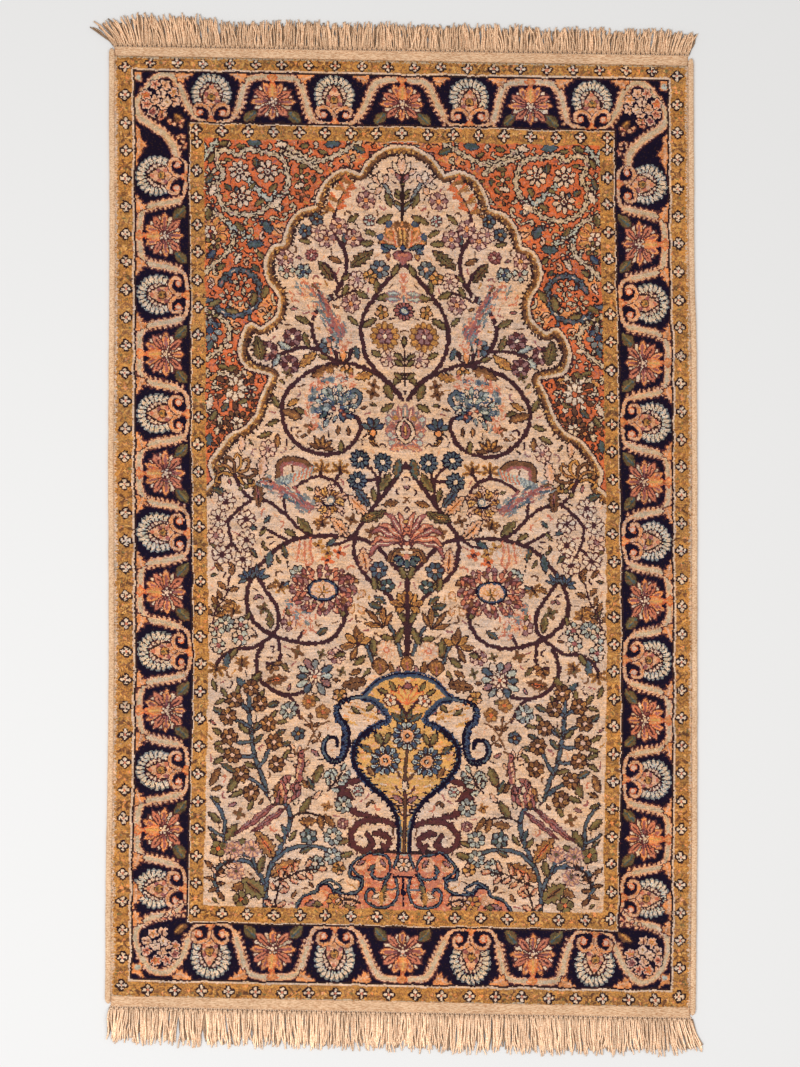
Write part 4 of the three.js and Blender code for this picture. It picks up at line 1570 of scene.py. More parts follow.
def blooms():
    """The larger flowers, sprays and birds."""
    for looks in SAW_LEAVES:
        saw_leaf(*looks)
    for looks in SPRIGS:
        sprig(*looks)
    feathered_twig()
    buds()
    curly_flower()
    pale_fan()
    fountain()
    middle_palmette(408j)
    rose_lotus(338j)
    crown_flower(551j)
    gold_flower(55+357j)
    ring_flower(60+293j, 21, 15)
    great_flower(49+427j)
    rosettes()
    birds()


# ---- small flowers and leaves that fill the gaps -------------------------------------------------

FILLER_GAP = 0.7  # bare ground left round each filling motif
TRIES = 26000     # places tried for motifs of size 1; fewer for larger ones
ON_LINE = 1.5     # a motif this near to the middle line counts as standing on it
GREENS = ["olive", "bronze", "moss", "brown", "teal", "ochre", "olive", "rose", "mauve", "brown"]
HOOK = [-0.9, -0.3+0.3j, 0.5+0.1j, 0.7-0.6j]
PETALS = [("petal", "rust"), ("blush", "maroon"), ("mauve", "petal"), ("ice", "rose"), ("peach", "mauve"),
          ("blush", "gold"), ("rose", "petal")]


def is_bare(place, radius, ground):
    """Whether a round place holds nothing but ground yarns."""
    near = window(np.array([place]), radius)
    cells = CELLS[near] - place
    return np.isin(chart[near][abs(cells) <= radius], ground).all()


def hooked(place, way, size, points):
    """A small curling hook about a place."""
    return place + way * size * spline(points, steps=3)


def filler(place, size, rng):
    """A small flower, leaf or twig of about this size, chosen at random."""
    facing = rng.uniform(0, 360)
    way = turn(facing)
    green = rng.choice(GREENS)
    kind = rng.random()
    petal, heart = PETALS[rng.integers(len(PETALS))]
    if size > 5:
        if kind < 0.3:
            blossom(place, 0.95 * size, petal, heart, int(rng.integers(6, 9)), "maroon", facing)
        elif kind < 0.5:
            line([place - size * way, place], 1.3, "ink")
            leaf(place - 0.4 * size * way, place + 0.8 * size * way, green, 0.4)
            leaf(place - 0.6 * size * way, place + 0.7 * size * way * turn(75), green, 0.5)
        elif kind < 0.75:
            sprig([place - size * way, place, place + 0.4 * size * way * turn(20)], green, 2, 0.5 * size)
        else:
            fingers(place - 0.4 * size * way, facing, 1.1 * size)
    elif size > 3.8:
        if kind < 0.25:
            blossom(place, size, petal, heart, 6, "maroon", facing)
        elif kind < 0.45:
            leaf(place - size * way, place + size * way, green, 0.42)
        elif kind < 0.7:
            leaf(place - 0.3 * size * way, place + size * way * turn(45), green, 0.5)
            leaf(place - 0.3 * size * way, place + size * way * turn(-70), green, 0.5)
        else:
            speck(place, size, rng.choice(["gold", "ochre", "salmon"]))
    elif size > 2.4:
        if kind < 0.45:
            leaf(place - size * way, place + size * way, green, 0.5)
        else:
            yarn = rng.choice(["rose", "brown", "plum", "bronze", "mauve", "salmon"])
            line(hooked(place, way, size, HOOK), 1.3, yarn)
    else:
        yarn = rng.choice(["rose", "gold", "peach", "brown", "plum", "ink"])
        line([place - size * way, place + size * way], 1.1, yarn)


def fill_gaps(sizes, ground, low, draw, seed):
    """Work down from large motifs to small, wherever the ground over the row `low` is still bare."""
    rng = np.random.default_rng(seed)
    ground = [YARN[yarn] for yarn in ground]
    for size in sizes:
        tries = int(TRIES / size ** 2)
        across = rng.uniform(0, FIELD - size, tries)
        for place in across + 1j * rng.uniform(low + size, ROWS - TOP[-1] - size, tries):
            if ON_LINE < place.real < size:
                continue  # it would run into its own mirror image
            if is_bare(place, size + FILLER_GAP, ground):
                draw(place, size, rng)


def spandrel_filler(place, size, rng):
    """Outlined leaves, hooks and small flowers, packed between the arabesques."""
    kind = rng.random()
    way = turn(rng.uniform(0, 360))
    pale = rng.choice(["vine", "petal", "haze", "blush", "peach", "vine"])
    dark = rng.choice(["olive", "teal", "brown", "bronze", "maroon", "olive"])
    if size > 4 and kind < 0.3:
        blossom(place, size, pale, "rust", 5, "ink", 90 * kind)
    elif size > 2.0 and kind < 0.62:
        outlined(hooked(place, way, size, HOOK + [0.1-0.7j]), 1.2, pale, "ink", 3.0)
    elif size > 2.6:
        leaf(place - 0.8 * size * way, place + size * way, dark, 0.6)
        leaf(place - 0.5 * size * way, place + 0.8 * size * way * turn(80), rng.choice([pale, dark]), 0.6)
    elif size > 1.8:
        dot(place, size - 0.7, rng.choice(["orange", "peach", "rust", dark]), "ink")
    elif kind < 0.7:
        yarn = rng.choice(["maroon", "ink", "salmon", "rose", "gold"])
        line([place - size * way, place + size * way], 1.2, yarn)


def draw_rug():
    """The whole chart, from the orange corners to the borders that close it."""
    spandrel()
    for sizes, seed in (((4.4, 3.4, 2.6, 2.1), 31), ((1.7, 1.1), 9)):
        fill_gaps(sizes, ("rust", "orange"), low=SPANDREL_LOW + 30, draw=spandrel_filler, seed=seed)
    niche()
    plinth()
    field()
    vase()
    fill_gaps((6.4, 5.2, 4.2, 3.4, 2.6, 2.0), ("cream",), low=BOTTOM[-1], draw=filler, seed=12)
    borders()


# ---- the outline, read from the CAD solids -----------------------------------------------------

PILE_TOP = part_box("rug_body")[1].z
WEAVE_TOP = 2.0 * MM          # the flat-woven foundation and end bands
PILE_SHOULDER = 0.9 * MM      # how far the solid's pile is rounded back at its edge
SELVEDGE_WIDTH = 7.0 * MM
SELVEDGE_HEIGHT = 4.4 * MM
SEWING_GAP = 0.3 * MM

solid = np.array([v.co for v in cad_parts["rug_body"].data.vertices])
ground = solid[solid[:, 2] < 0.1 * MM]
crown = solid[solid[:, 2] > PILE_TOP - 0.1 * MM]


def edge_stations(points, side):
    """The rug's long edge on one side, -1 left or 1 right, as (y, x) from bottom to top."""
    edge = points[points[:, 0] * side > 0]
    return edge[np.argsort(edge[:, 1])][:, [1, 0]]


LEFT, RIGHT = (edge_stations(ground, side) for side in (-1, 1))


def corner(points, x_way, y_way):
    """The point furthest out in a diagonal direction."""
    return points[np.argmax(points[:, 0] * x_way + points[:, 1] * y_way)]


def end_line(points, way, grow=0.0):
    """The y of an end, way -1 bottom or 1 top, as a function of u from the left (0) to right (1)."""
    left, right = (corner(points, x_way, way)[1] + way * grow for x_way in (-1, 1))
    return lambda u: left + (right - left) * u


PILE_ENDS = end_line(crown, -1, PILE_SHOULDER), end_line(crown, 1, PILE_SHOULDER)
WEAVE_ENDS = end_line(ground, -1), end_line(ground, 1)

# The warps drift sideways between straight edges: (v up the rug, drift to the right in mm).
DRIFT = np.array([(0, 1.9), (0.15, 3.2), (0.35, 5.8), (0.45, 5.2), (0.85, 0.6), (1, 0)]) * (1, MM)
STRAIGHT_EDGE = 0.11  # the share of the width over which the drift dies away to an edge


def on_rug(u, v, ends, drift):
    """The place of a point u across (0 left, 1 right) and v along (0 bottom, 1 top).

    With `drift` it moves sideways as the warps do.
    """
    y = ends[0](u) + (ends[1](u) - ends[0](u)) * v
    left = np.interp(y, LEFT[:, 0], LEFT[:, 1])
    right = np.interp(y, RIGHT[:, 0], RIGHT[:, 1])
    x = left + (right - left) * u
    if drift:
        freedom = np.clip((0.5 - abs(u - 0.5)) / STRAIGHT_EDGE, 0, 1)
        x = x + np.interp(v, DRIFT[:, 0], DRIFT[:, 1]) * freedom
    return x, y


# ---- making meshes -----------------------------------------------------------------------------

def new_piece(name, points, faces, material, smooth=True, uvs=None):
    """An object from arrays: points (n, 3), and faces as rows of 3 or 4, or a list of lists."""
    mesh = bpy.data.meshes.new(name)
    mesh.from_pydata(np.asarray(points).tolist(), [], [list(map(int, face)) for face in faces])
    for layer, places in (uvs or {}).items():
        made = mesh.uv_layers.new(name=layer)
        corners = np.empty(len(mesh.loops), np.int32)
        mesh.loops.foreach_get("vertex_index", corners)
        made.data.foreach_set("uv", np.asarray(places, np.float32)[corners].ravel())
    mesh.materials.append(material)
    mesh.polygons.foreach_set("use_smooth", np.full(len(mesh.polygons), smooth))
    mesh.update()
    piece = bpy.data.objects.new(name, mesh)
    bpy.context.scene.collection.objects.link(piece)
    return piece


def grid_faces(columns, rows):
    """Quads of a grid of columns x rows points, numbered along each row."""
    column, row = np.meshgrid(np.arange(columns - 1), np.arange(rows - 1))
    low = (row * columns + column).ravel()
    return np.stack([low, low + 1, low + columns + 1, low + columns], axis=1)


def tubes(paths, radii, sides):
    """Closed tubes along many paths at once. paths (n, rings, 3), radii (n, rings)."""
    count, rings = radii.shape
    way = np.gradient(paths, axis=1)
    way /= np.linalg.norm(way, axis=2, keepdims=True)
    across = np.cross(way, [0.0, 0.0, 1.0])
    across /= np.linalg.norm(across, axis=2, keepdims=True)
    over = np.cross(across, way)
    angle = np.linspace(0, 2 * np.pi, sides, endpoint=False)
    around = across[:, :, None] * np.cos(angle)[:, None] + over[:, :, None] * np.sin(angle)[:, None]
    points = (paths[:, :, None] + radii[:, :, None, None] * around).reshape(-1, 3)
    strand, step, side = np.meshgrid(
        np.arange(count), np.arange(rings - 1), np.arange(sides), indexing="ij"
    )
    base = (strand * rings + step) * sides
    beside = (side + 1) % sides
    quads = np.stack([base + side, base + beside, base + sides + beside, base + sides + side], -1)
    first = (np.arange(count) * rings * sides)[:, None] + np.arange(sides)
    last = first + (rings - 1) * sides
    return points, quads.reshape(-1, 4), first[:, ::-1], last


# ---- node materials ----------------------------------------------------------------------------

def new_material(name, roughness, specular, sheen=0.0):
    """A principled material, with its node tree and its shader."""
    material = bpy.data.materials.new(name)
    material.use_nodes = True
    shader = material.node_tree.nodes["Principled BSDF"]
    shader.inputs["Roughness"].default_value = roughness
    shader.inputs["Sheen Weight"].default_value = sheen
    shader.inputs["Sheen Roughness"].default_value = 0.4
    shader.inputs["Specular IOR Level"].default_value = specular
    return material, material.node_tree, shader


def node(tree, kind, inputs=(), **settings):
    """A shader node with its settings, and its inputs given as values or as other sockets."""
    made = tree.nodes.new(kind)
    for key, value in settings.items():
        setattr(made, key, value)
    for key, value in dict(inputs).items():
        if isinstance(value, bpy.types.NodeSocket):
            tree.links.new(value, made.inputs[key])
        else:
            made.inputs[key].default_value = value
    return made


def maths(tree, operation, first, second=0.0):
    """The result of a sum on one or two sockets or values."""
    return node(tree, "ShaderNodeMath", {0: first, 1: second}, operation=operation).outputs[0]


def mixed(tree, factor, first, second, blend="MIX"):
    """Two colours blended: 6 and 7 are a mix node's colour inputs, and 2 is its colour output."""
    inputs = {0: factor, 6: first, 7: second}
    return node(tree, "ShaderNodeMix", inputs, data_type="RGBA", blend_type=blend).outputs[2]


def linear(colour):
    """sRGB 0..255 to linear light."""
    part = np.asarray(colour, float) / 255
    return np.where(part <= 0.04045, part / 12.92, ((part + 0.055) / 1.055) ** 2.4)


# ---- the pile ----------------------------------------------------------------------------------

LINES, HALF_LINE = chart.shape
COLUMNS = 2 * HALF_LINE
BLOCK = 3                     # one face of the mesh carries this many knots each way
PLACES = [(row, column) for row in range(BLOCK) for column in range(BLOCK)]

MOTTLED = ("gold", "ochre", "rust", "orange", "olive", "bronze", "teal", "steel", "peach", "rose")
KIN = {  # the yarn that strays into patches of another
    "ink": "maroon", "plum": "ink", "maroon": "brown", "navy": "ink", "brown": "bronze",
    "bronze": "brown", "ochre": "gold", "gold": "ochre", "orange": "peach", "rust": "salmon",
    "salmon": "peach", "rose": "mauve", "mauve": "salmon", "peach": "blush", "blush": "petal",
    "petal": "ivory", "cream": "petal", "ivory": "cream", "ice": "haze", "vine": "cream",
    "haze": "ice", "steel": "teal", "blue": "steel", "teal": "steel", "olive": "bronze",
    "moss": "ochre", "amber": "peach",
}

STRAY = 0.06                  # the share of knots tied in a yarn's kin
STRAY_MOTTLED = 0.22          # the same in the mottled yarns


def drift_noise(rows, columns, cell, rng):
    """Smooth noise from -1 to 1, its lumps about `cell` = (rows, columns) in size."""
    coarse = rng.uniform(-1, 1, (int(rows / cell[0]) + 3, int(columns / cell[1]) + 3))
    for axis, (size, step) in enumerate(zip((rows, columns), cell)):
        place = np.arange(size) / step
        low = place.astype(int)
        part = place - low
        part = part * part * (3 - 2 * part)
        shape_of = (-1, 1) if axis == 0 else (1, -1)
        part = part.reshape(shape_of)
        coarse = np.take(coarse, low, axis) * (1 - part) + np.take(coarse, low + 1, axis) * part
    return coarse


def knot_yarns(weaver):
    """The yarn of every knot: the half chart mirrored, its outlines a little uneven as knots are."""
    size = (LINES, COLUMNS)
    wander_x = 1.0 * drift_noise(*size, (16, 20), weaver) + 0.65 * drift_noise(*size, (2, 3), weaver)
    wander_y = 0.9 * drift_noise(*size, (20, 16), weaver) + 0.55 * drift_noise(*size, (3, 2), weaver)
    row, column = np.mgrid[0:LINES, 0:COLUMNS]
    column = np.clip(np.round(column + wander_x), 0, COLUMNS - 1).astype(int)
    row = np.clip(np.round(row + wander_y), 0, LINES - 1).astype(int)
    whole = np.concatenate([chart[:, ::-1], chart], axis=1)[row, column]
    kin = np.array([YARN[KIN[name]] for name in YARNS])
    stray = weaver.random(size) < np.where(any_of(whole, MOTTLED), STRAY_MOTTLED, STRAY)
    return np.where(stray, kin[whole], whole)


def any_of(yarns, names):
    """Where the knots are of any of the yarns named."""
    return np.isin(yarns, [YARN[name] for name in names])


def knot_colours():
    """The whole rug's knots in linear colour, dyed unevenly: most of all along the wefts, where the streaks
    are partly painted sheen and shade.
    """
    weaver = np.random.default_rng(14)
    whole = knot_yarns(weaver)
    size = whole.shape
    dyed = np.array([linear(colour) for colour in YARNS.values()])[whole]
    shade = 0.15 * weaver.standard_normal(size)
    # Lumps one row tall and long along it, here and in the pale yarns below, are partly uneven dye along
    # the wefts and partly painted sheen and shade of the silk rows.
    for strength, lumps in ((0.13, (3, 4)), (0.10, (1, 13)), (0.05, (4, 60)), (0.04, (90, 90))):
        shade += strength * drift_noise(*size, lumps, weaver)
    for names, (strong, small), (weak, large) in (
        (MOTTLED, (0.24, (2, 4)), (0.16, (9, 9))),
        (("cream", "petal", "ivory"), (0.14, (1, 7)), (0.08, (5, 26))),
    ):
        patches = strong * drift_noise(*size, small, weaver) + weak * drift_noise(*size, large, weaver)
        shade += any_of(whole, names) * patches
    warmth = 0.05 * weaver.standard_normal(size) + 0.06 * drift_noise(*size, (4, 14), weaver)
    warmth += 0.06 * drift_noise(*size, (40, 55), weaver)
    dyed = dyed * np.clip(1 + shade, 0.5, 1.5)[:, :, None]
    dyed *= 1 + warmth[:, :, None] * np.array([1.0, 0.0, -1.6])
    return np.clip(dyed, 0, 1)


def pick(tree, place, choices):
    """The choice for each third of a face, by the fraction of the knot's place within it."""
    part = maths(tree, "FRACT", maths(tree, "DIVIDE", place, BLOCK))
    chosen = choices[0]
    for number, choice in enumerate(choices[1:], 1):
        chosen = mixed(tree, maths(tree, "GREATER_THAN", part, number / BLOCK), chosen, choice)
    return chosen


def pile_material():
    """Each knot's own yarn colour, domed by a bump, with the fine shine of cut silk."""
    material, tree, shader = new_material("silk_pile", roughness=0.7, sheen=0.03, specular=0.10)
    place = node(tree, "ShaderNodeUVMap", uv_map="knots").outputs[0]
    split = node(tree, "ShaderNodeSeparateXYZ", {0: place})
    yarn = [
        node(tree, "ShaderNodeAttribute", attribute_name=f"knot_{row}{column}").outputs[0]
        for row, column in PLACES
    ]
    rows = [pick(tree, split.outputs[0], yarn[first:first + BLOCK]) for first in range(0, len(yarn), BLOCK)]
    colour = pick(tree, split.outputs[1], rows)

    stretch = node(tree, "ShaderNodeVectorMath", {0: place, 1: (0.25, 1.1, 1.0)},
                   operation="MULTIPLY").outputs[0]
    fibre = node(tree, "ShaderNodeTexNoise", {"Vector": stretch, "Scale": 1.1, "Detail": 3.0})
    tone = node(tree, "ShaderNodeMapRange",
                {"Value": fibre.outputs[0], "To Min": 0.86, "To Max": 1.14})
    colour = mixed(tree, 1.0, colour, tone.outputs[0], "MULTIPLY")
    tree.links.new(colour, shader.inputs["Base Color"])

    domes = [
        maths(tree, "SINE", maths(tree, "MULTIPLY", maths(tree, "FRACT", s), math.pi))
        for s in (split.outputs[0], split.outputs[1])
    ]
    dome = maths(tree, "MULTIPLY", domes[0], domes[1])
    height = maths(tree, "ADD", dome, maths(tree, "MULTIPLY", fibre.outputs[0], 1.2))
    bump = node(tree, "ShaderNodeBump", {"Strength": 0.45, "Distance": 0.3 * MM, "Height": height})
    tree.links.new(bump.outputs[0], shader.inputs["Normal"])
    return material


def slab(name, u, v, ends, heights, base, material, layers, drift=True):
    """A closed sheet: a top grid over (u, v) at the given heights, walls, and a flat floor.

    `layers` gives each UV layer's size, as units across and along the sheet.
    """
    along, across = u.shape
    x, y = on_rug(u, v, ends, drift)
    top = np.stack([x, y, heights], -1).reshape(-1, 3)
    numbers = np.arange(across * along).reshape(along, across)
    border = np.concatenate([
        numbers[0, :-1], numbers[:-1, -1], numbers[-1, :0:-1], numbers[:0:-1, 0],
    ])
    skirt = top[border] * (1, 1, 0) + (0, 0, base)
    points = np.concatenate([top, skirt, skirt.mean(axis=0, keepdims=True)])
    low = len(top) + np.arange(len(border))
    beside = np.roll(low, -1)
    walls = np.stack([border, low, beside, np.roll(border, -1)], axis=1)
    floor = np.stack([np.full(len(border), len(points) - 1), beside, low], axis=1)
    faces = grid_faces(across, along).tolist() + walls.tolist() + floor.tolist()
    uvs = {}
    for layer, (wide, tall) in layers.items():
        places = np.stack([u * wide, v * tall], -1).reshape(-1, 2)
        uvs[layer] = np.concatenate([places, places[border], [[wide / 2, tall / 2]]])
    return new_piece(name, points, faces, material, uvs=uvs)


def make_pile():
    """The knotted pile: one closed sheet with a face for every nine knots."""
    across, along = COLUMNS // BLOCK + 1, LINES // BLOCK + 1
    u, v = np.meshgrid(np.linspace(0, 1, across), np.linspace(0, 1, along))
    rng = np.random.default_rng(3)
    rise = 0.22 * drift_noise(along, across, (9, 9), rng) + 0.1 * rng.standard_normal(u.shape)
    rim = np.minimum(np.minimum(u, 1 - u) * (across - 1), np.minimum(v, 1 - v) * (along - 1))
    sunk = 0.35 + np.interp(rim, [0, 1, 2], [1.3, 0.3, 0.0])  # mm below the top, more at the rim
    heights = PILE_TOP + (rise - sunk) * MM
    piece = slab("silk_pile", u, v, PILE_ENDS, heights, WEAVE_TOP - 0.2 * MM, pile_material(),
                 {"knots": (COLUMNS, LINES), "OFBake": (1.0, 1.0)})
    colours = knot_colours()
    others = len(piece.data.polygons) - (across - 1) * (along - 1)
    hidden = np.tile(0.9 * linear(YARNS["cream"]), (others, 1))
    for row, column in PLACES:
        part = colours[row::BLOCK, column::BLOCK].reshape(-1, 3)
        values = np.concatenate([part, hidden])
        values = np.concatenate([values, np.ones((len(values), 1))], axis=1)
        layer = piece.data.attributes.new(f"knot_{row}{column}", "FLOAT_COLOR", "FACE")
        layer.data.foreach_set("color", values.astype(np.float32).ravel())
    return piece


# ---- cream yarn: foundation, overcasting and fringe --------------------------------------------

# The yarn's pale and dark creams: partly its own uneven tone, partly painted highlight and painted shade.
CREAM_PALE_AND_PAINTED_HIGHLIGHT = (242, 208, 172)
CREAM = (228, 188, 150)
CREAM_DARK_AND_PAINTED_SHADE = (188, 140, 102)


def yarn_material(name, stretch, scale, relief, tone_layer=None):
    """Undyed yarn: creams that vary along the thread, with a bump in the same direction; the colour follows
    the bump, darker in its hollows as painted shade and lighter on its ridges as painted highlight.
    """
    material, tree, shader = new_material(name, roughness=0.8, sheen=0.1, specular=0.15)
    spot = node(tree, "ShaderNodeTexCoord").outputs["Object"]
    place = node(tree, "ShaderNodeVectorMath", {0: spot, 1: stretch}, operation="MULTIPLY")
    fine = node(tree, "ShaderNodeTexNoise",
                {"Vector": place.outputs[0], "Scale": scale, "Detail": 4.0, "Roughness": 0.6})
    broad = node(tree, "ShaderNodeTexNoise", {"Vector": spot, "Scale": 22.0, "Detail": 2.0})
    # the ramp from dark to pale cream is partly the yarn's own tone, partly painted shade in the bump's
    # hollows and painted highlight on its ridges
    ramp = node(tree, "ShaderNodeValToRGB", {0: fine.outputs[0]})
    stops = ramp.color_ramp.elements
    for stop, (position, colour) in zip(stops, ((0.40, CREAM_DARK_AND_PAINTED_SHADE), (0.60, CREAM_PALE_AND_PAINTED_HIGHLIGHT))):
        stop.position = position
        stop.color = (*linear(colour), 1)
    middle = stops.new(0.5)
    middle.color = (*linear(CREAM), 1)
    warm = node(tree, "ShaderNodeMapRange", {"Value": broad.outputs[0], "From Min": 0.3,
                                             "From Max": 0.7, "To Min": 0.92, "To Max": 1.06})
    colour = mixed(tree, 1.0, ramp.outputs[0], warm.outputs[0], "MULTIPLY")
    if tone_layer:
        tone = node(tree, "ShaderNodeAttribute", attribute_name=tone_layer).outputs[0]
        colour = mixed(tree, 1.0, colour, tone, "MULTIPLY")
    tree.links.new(colour, shader.inputs["Base Color"])
    bump = node(tree, "ShaderNodeBump",
                {"Strength": 0.6, "Distance": relief, "Height": fine.outputs[0]})
    tree.links.new(bump.outputs[0], shader.inputs["Normal"])
    return material


RIB = 1.15 * MM               # one weft of the end bands
END_WEAVE = 17 * MM           # how far in from each end the ribs are modelled
GROOVES = (3.4 * MM, 4.9 * MM)  # beside the twined wefts that close them
GROOVE_HALF = 0.3 * MM        # half a groove's width


def make_foundation():
    """The flat-woven ground in one sheet, ribbed where it shows beyond the pile."""
    length = WEAVE_ENDS[1](0.5) - WEAVE_ENDS[0](0.5)
    fine = np.arange(0, END_WEAVE, RIB / 4)
    rows = np.concatenate([fine, np.linspace(fine[-1], length - fine[-1], 32)[1:-1],
                           length - fine[::-1]])
    across = 300  # points across the rug
    u, v = np.meshgrid(np.linspace(0, 1, across), rows / length)
    rng = np.random.default_rng(8)
    from_end = np.minimum(v, 1 - v) * length
    rib = 0.5 * abs(np.sin(np.pi * from_end / RIB)) + 0.07 * rng.standard_normal(u.shape)
    sag = 0.25 * drift_noise(*u.shape, (20, 24), rng)
    rim = np.interp(np.minimum(u, 1 - u) * across, [0, 2], [0.8, 0]) + 0.5 * (from_end < 0.2 * MM)
    for groove in GROOVES:
        rim += 0.5 * (abs(from_end - groove) < GROOVE_HALF)
    heights = WEAVE_TOP + (rib + sag - 0.45 - rim) * MM
    heights = np.clip(heights, 0.4 * MM, WEAVE_TOP + 0.2 * MM)
    material = yarn_material("flat_weave", (1.0, 7.0, 1.0), 250.0, 0.5 * MM)
    return slab("foundation", u, v, WEAVE_ENDS, heights, 0.0, material, {"OFBake": (1.0, 1.0)},
                drift=False)


WRAP = 1.3 * MM               # one turn of the overcasting
WRAP_SIDES = 12               # points round a turn
RUN_ON = 3.0 * MM             # how far its thin ends run on past the wrapping
BITE = 0.45 * MM              # how far the wrapping reaches past the gap into the rug
SLANT = 0.5 * MM              # how far a turn leans along the edge


def make_selvedge(name, side):
    """Yarn wrapped closely round the outer warps: a flattened cord with a ridge at every turn."""
    low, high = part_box(name)
    y = np.arange(low.y - RUN_ON, high.y + RUN_ON, WRAP / 2)
    edge = LEFT if side < 0 else RIGHT
    middle = np.interp(y, edge[:, 0], edge[:, 1])
    middle = middle + side * (SEWING_GAP + SELVEDGE_WIDTH / 2 - BITE)
    rng = np.random.default_rng(20 + side)
    turns = len(y)
    ridge = np.where(np.arange(turns) % 2, 1.0, 0.9) + 0.02 * rng.standard_normal(turns)
    ends = np.interp(np.minimum(np.arange(turns), turns - 1 - np.arange(turns)), [0, 3, 9], [0.3, 0.75, 1])
    sway = 0.25 * MM * drift_noise(turns, 1, (30, 1), rng)[:, 0]
    angle = np.linspace(0, 2 * np.pi, WRAP_SIDES, endpoint=False)
    round_x = (SELVEDGE_WIDTH / 2 + BITE) * (ridge * ends)[:, None] * np.cos(angle)
    round_z = SELVEDGE_HEIGHT / 2 * (1 + (ridge * ends)[:, None] * np.sin(angle))
    points = np.stack([
        (middle + sway)[:, None] + round_x,
        y[:, None] + side * SLANT * np.cos(angle),
        np.maximum(round_z, 0.0),
    ], -1).reshape(-1, 3)
    step, around = np.meshgrid(np.arange(turns - 1), np.arange(WRAP_SIDES), indexing="ij")
    first = step * WRAP_SIDES
    beside = (around + 1) % WRAP_SIDES
    quads = np.stack([first + around, first + WRAP_SIDES + around, first + WRAP_SIDES + beside,
                      first + beside], -1)
    start = list(range(WRAP_SIDES))
    caps = [start, [number + (turns - 1) * WRAP_SIDES for number in start[::-1]]]
    material = yarn_material(name + "_yarn", (1.0, 3.0, 1.0), 420.0, 0.35 * MM)
    return new_piece(name + "_overcast", points, quads.reshape(-1, 4).tolist() + caps, material)


TASSELS = 118
CORD = 1.04 * MM              # radius of one cord
WARP = 1.0 * MM               # radius of a warp between the weave and its knot
KNOT = 1.45 * MM              # radius of a knot
KNOT_REACH = 2.7 * MM         # half of its length, across the rug
KNOT_ROW = 3.0 * MM           # from the weave to the row of knots
FRINGE_OUT = 1.8 * MM         # the fringe starts this far outside the foundation's corners
FLOOR_GAP = 0.05 * MM         # the least height of a cord's underside

# Tassel length and lean in mm, from the left corner (0) to the right (1).
TOP_FRINGE = [
    (0.0, 30, -24), (0.02, 42, -13), (0.05, 46, -6), (0.14, 44, -8), (0.2, 38, -3),
    (0.45, 39, 1), (0.7, 37, -2), (0.94, 35, 3), (1.0, 29, 13),
]
BOTTOM_FRINGE = [
    (0.0, 47, -6), (0.04, 50, 0), (0.3, 51, 2), (0.55, 53, -1), (0.8, 52, 2), (0.96, 50, 6),
    (1.0, 45, 16),
]

# A cord's tone at each of the points round it: painted highlight on top, painted shade at its sides and
# underneath, darkest where two cords meet.
CORD_PAINTED_SHADING = np.array([0.66, 1.06, 1.06, 0.66, 0.45, 0.45])
# How each fringe tints its yarn, by its way: the bottom one (-1) lighter and cooler, the top one (1)
# darkened as painted shade.
TINTS_AND_PAINTED_SHADE = {-1: (1.10, 1.14, 1.22, 1.0), 1: (0.90, 0.88, 0.88, 1.0)}
# Cords in a tassel, gap, radius, share of the gap at the root, share of the tassel's length,
# least and most lift in mm, darkest and lightest tone.
LAYERS = [
    # the lower layer: dark cords as painted shade in the gaps between the upper ones
    (4, 1.9 * MM, 1.15 * MM, 1.0, 0.90, 0.0, 0.3, 0.40, 0.60),
    (4, 1.75 * MM, CORD, 0.5, 1.0, 0.8, 3.8, 0.98, 1.56),
]


def loose_cords(roots, way, length, lean, layer, rng):
    """Wavy cords hanging from each tassel: tubes, and a tone for each of their points that holds painted
    shade and highlight as well as each cord's own tone.
    """
    per, gap, radius, gathered, share, low, high, dark, light = layer
    count = per * len(roots)
    length, lean, root_x, root_y = (np.repeat(values, per) for values in (length, lean, *roots.T))
    along = np.linspace(0, 1, 13)[None, :]
    reach = share * length * rng.uniform(0.80, 1.04, count)
    place = np.tile(np.arange(per) - (per - 1) / 2, len(roots)) + 0.35 * rng.standard_normal(count)
    stray = np.where(rng.random(count) < 0.1, 6.0, 1.6) * MM * rng.standard_normal(count)
    swing = rng.uniform(0.4, 2.2, count) * MM
    beat = rng.uniform(0.5, 1.7, count)
    start = rng.uniform(0, 2 * np.pi, count)
    spread = np.minimum(gathered + along * 3.5, 1)
    lateral = (place * gap)[:, None] * spread + (lean + stray)[:, None] * along ** 1.3
    lateral += swing[:, None] * along * np.sin(2 * np.pi * beat[:, None] * along + start[:, None])
    lift = rng.uniform(low, high, count)[:, None] * MM
    height = radius + 0.1 * MM + lift * np.sin(np.pi * np.clip(along * 0.85 + 0.1, 0, 1)) ** 0.7
    paths = np.stack([
        root_x[:, None] + lateral,
        root_y[:, None] + way * (KNOT_ROW * 0.4 + (reach[:, None] - KNOT_ROW) * along),
        height,
    ], -1)
    radii = radius * np.interp(along, [0, 0.06, 0.85, 1], [0.75, 1, 0.95, 0.6])
    radii = radii * rng.uniform(0.85, 1.12, count)[:, None]
    tone = rng.uniform(dark, light, count)[:, None]
    # painted shade: each cord darker towards its root at the knots
    tone = tone * np.interp(along, [0, 0.15, 0.5, 1], [0.6, 0.92, 1.0, 1.04])
    return tubes(paths, radii, len(CORD_PAINTED_SHADING)), (tone.ravel()[:, None] * CORD_PAINTED_SHADING).ravel()


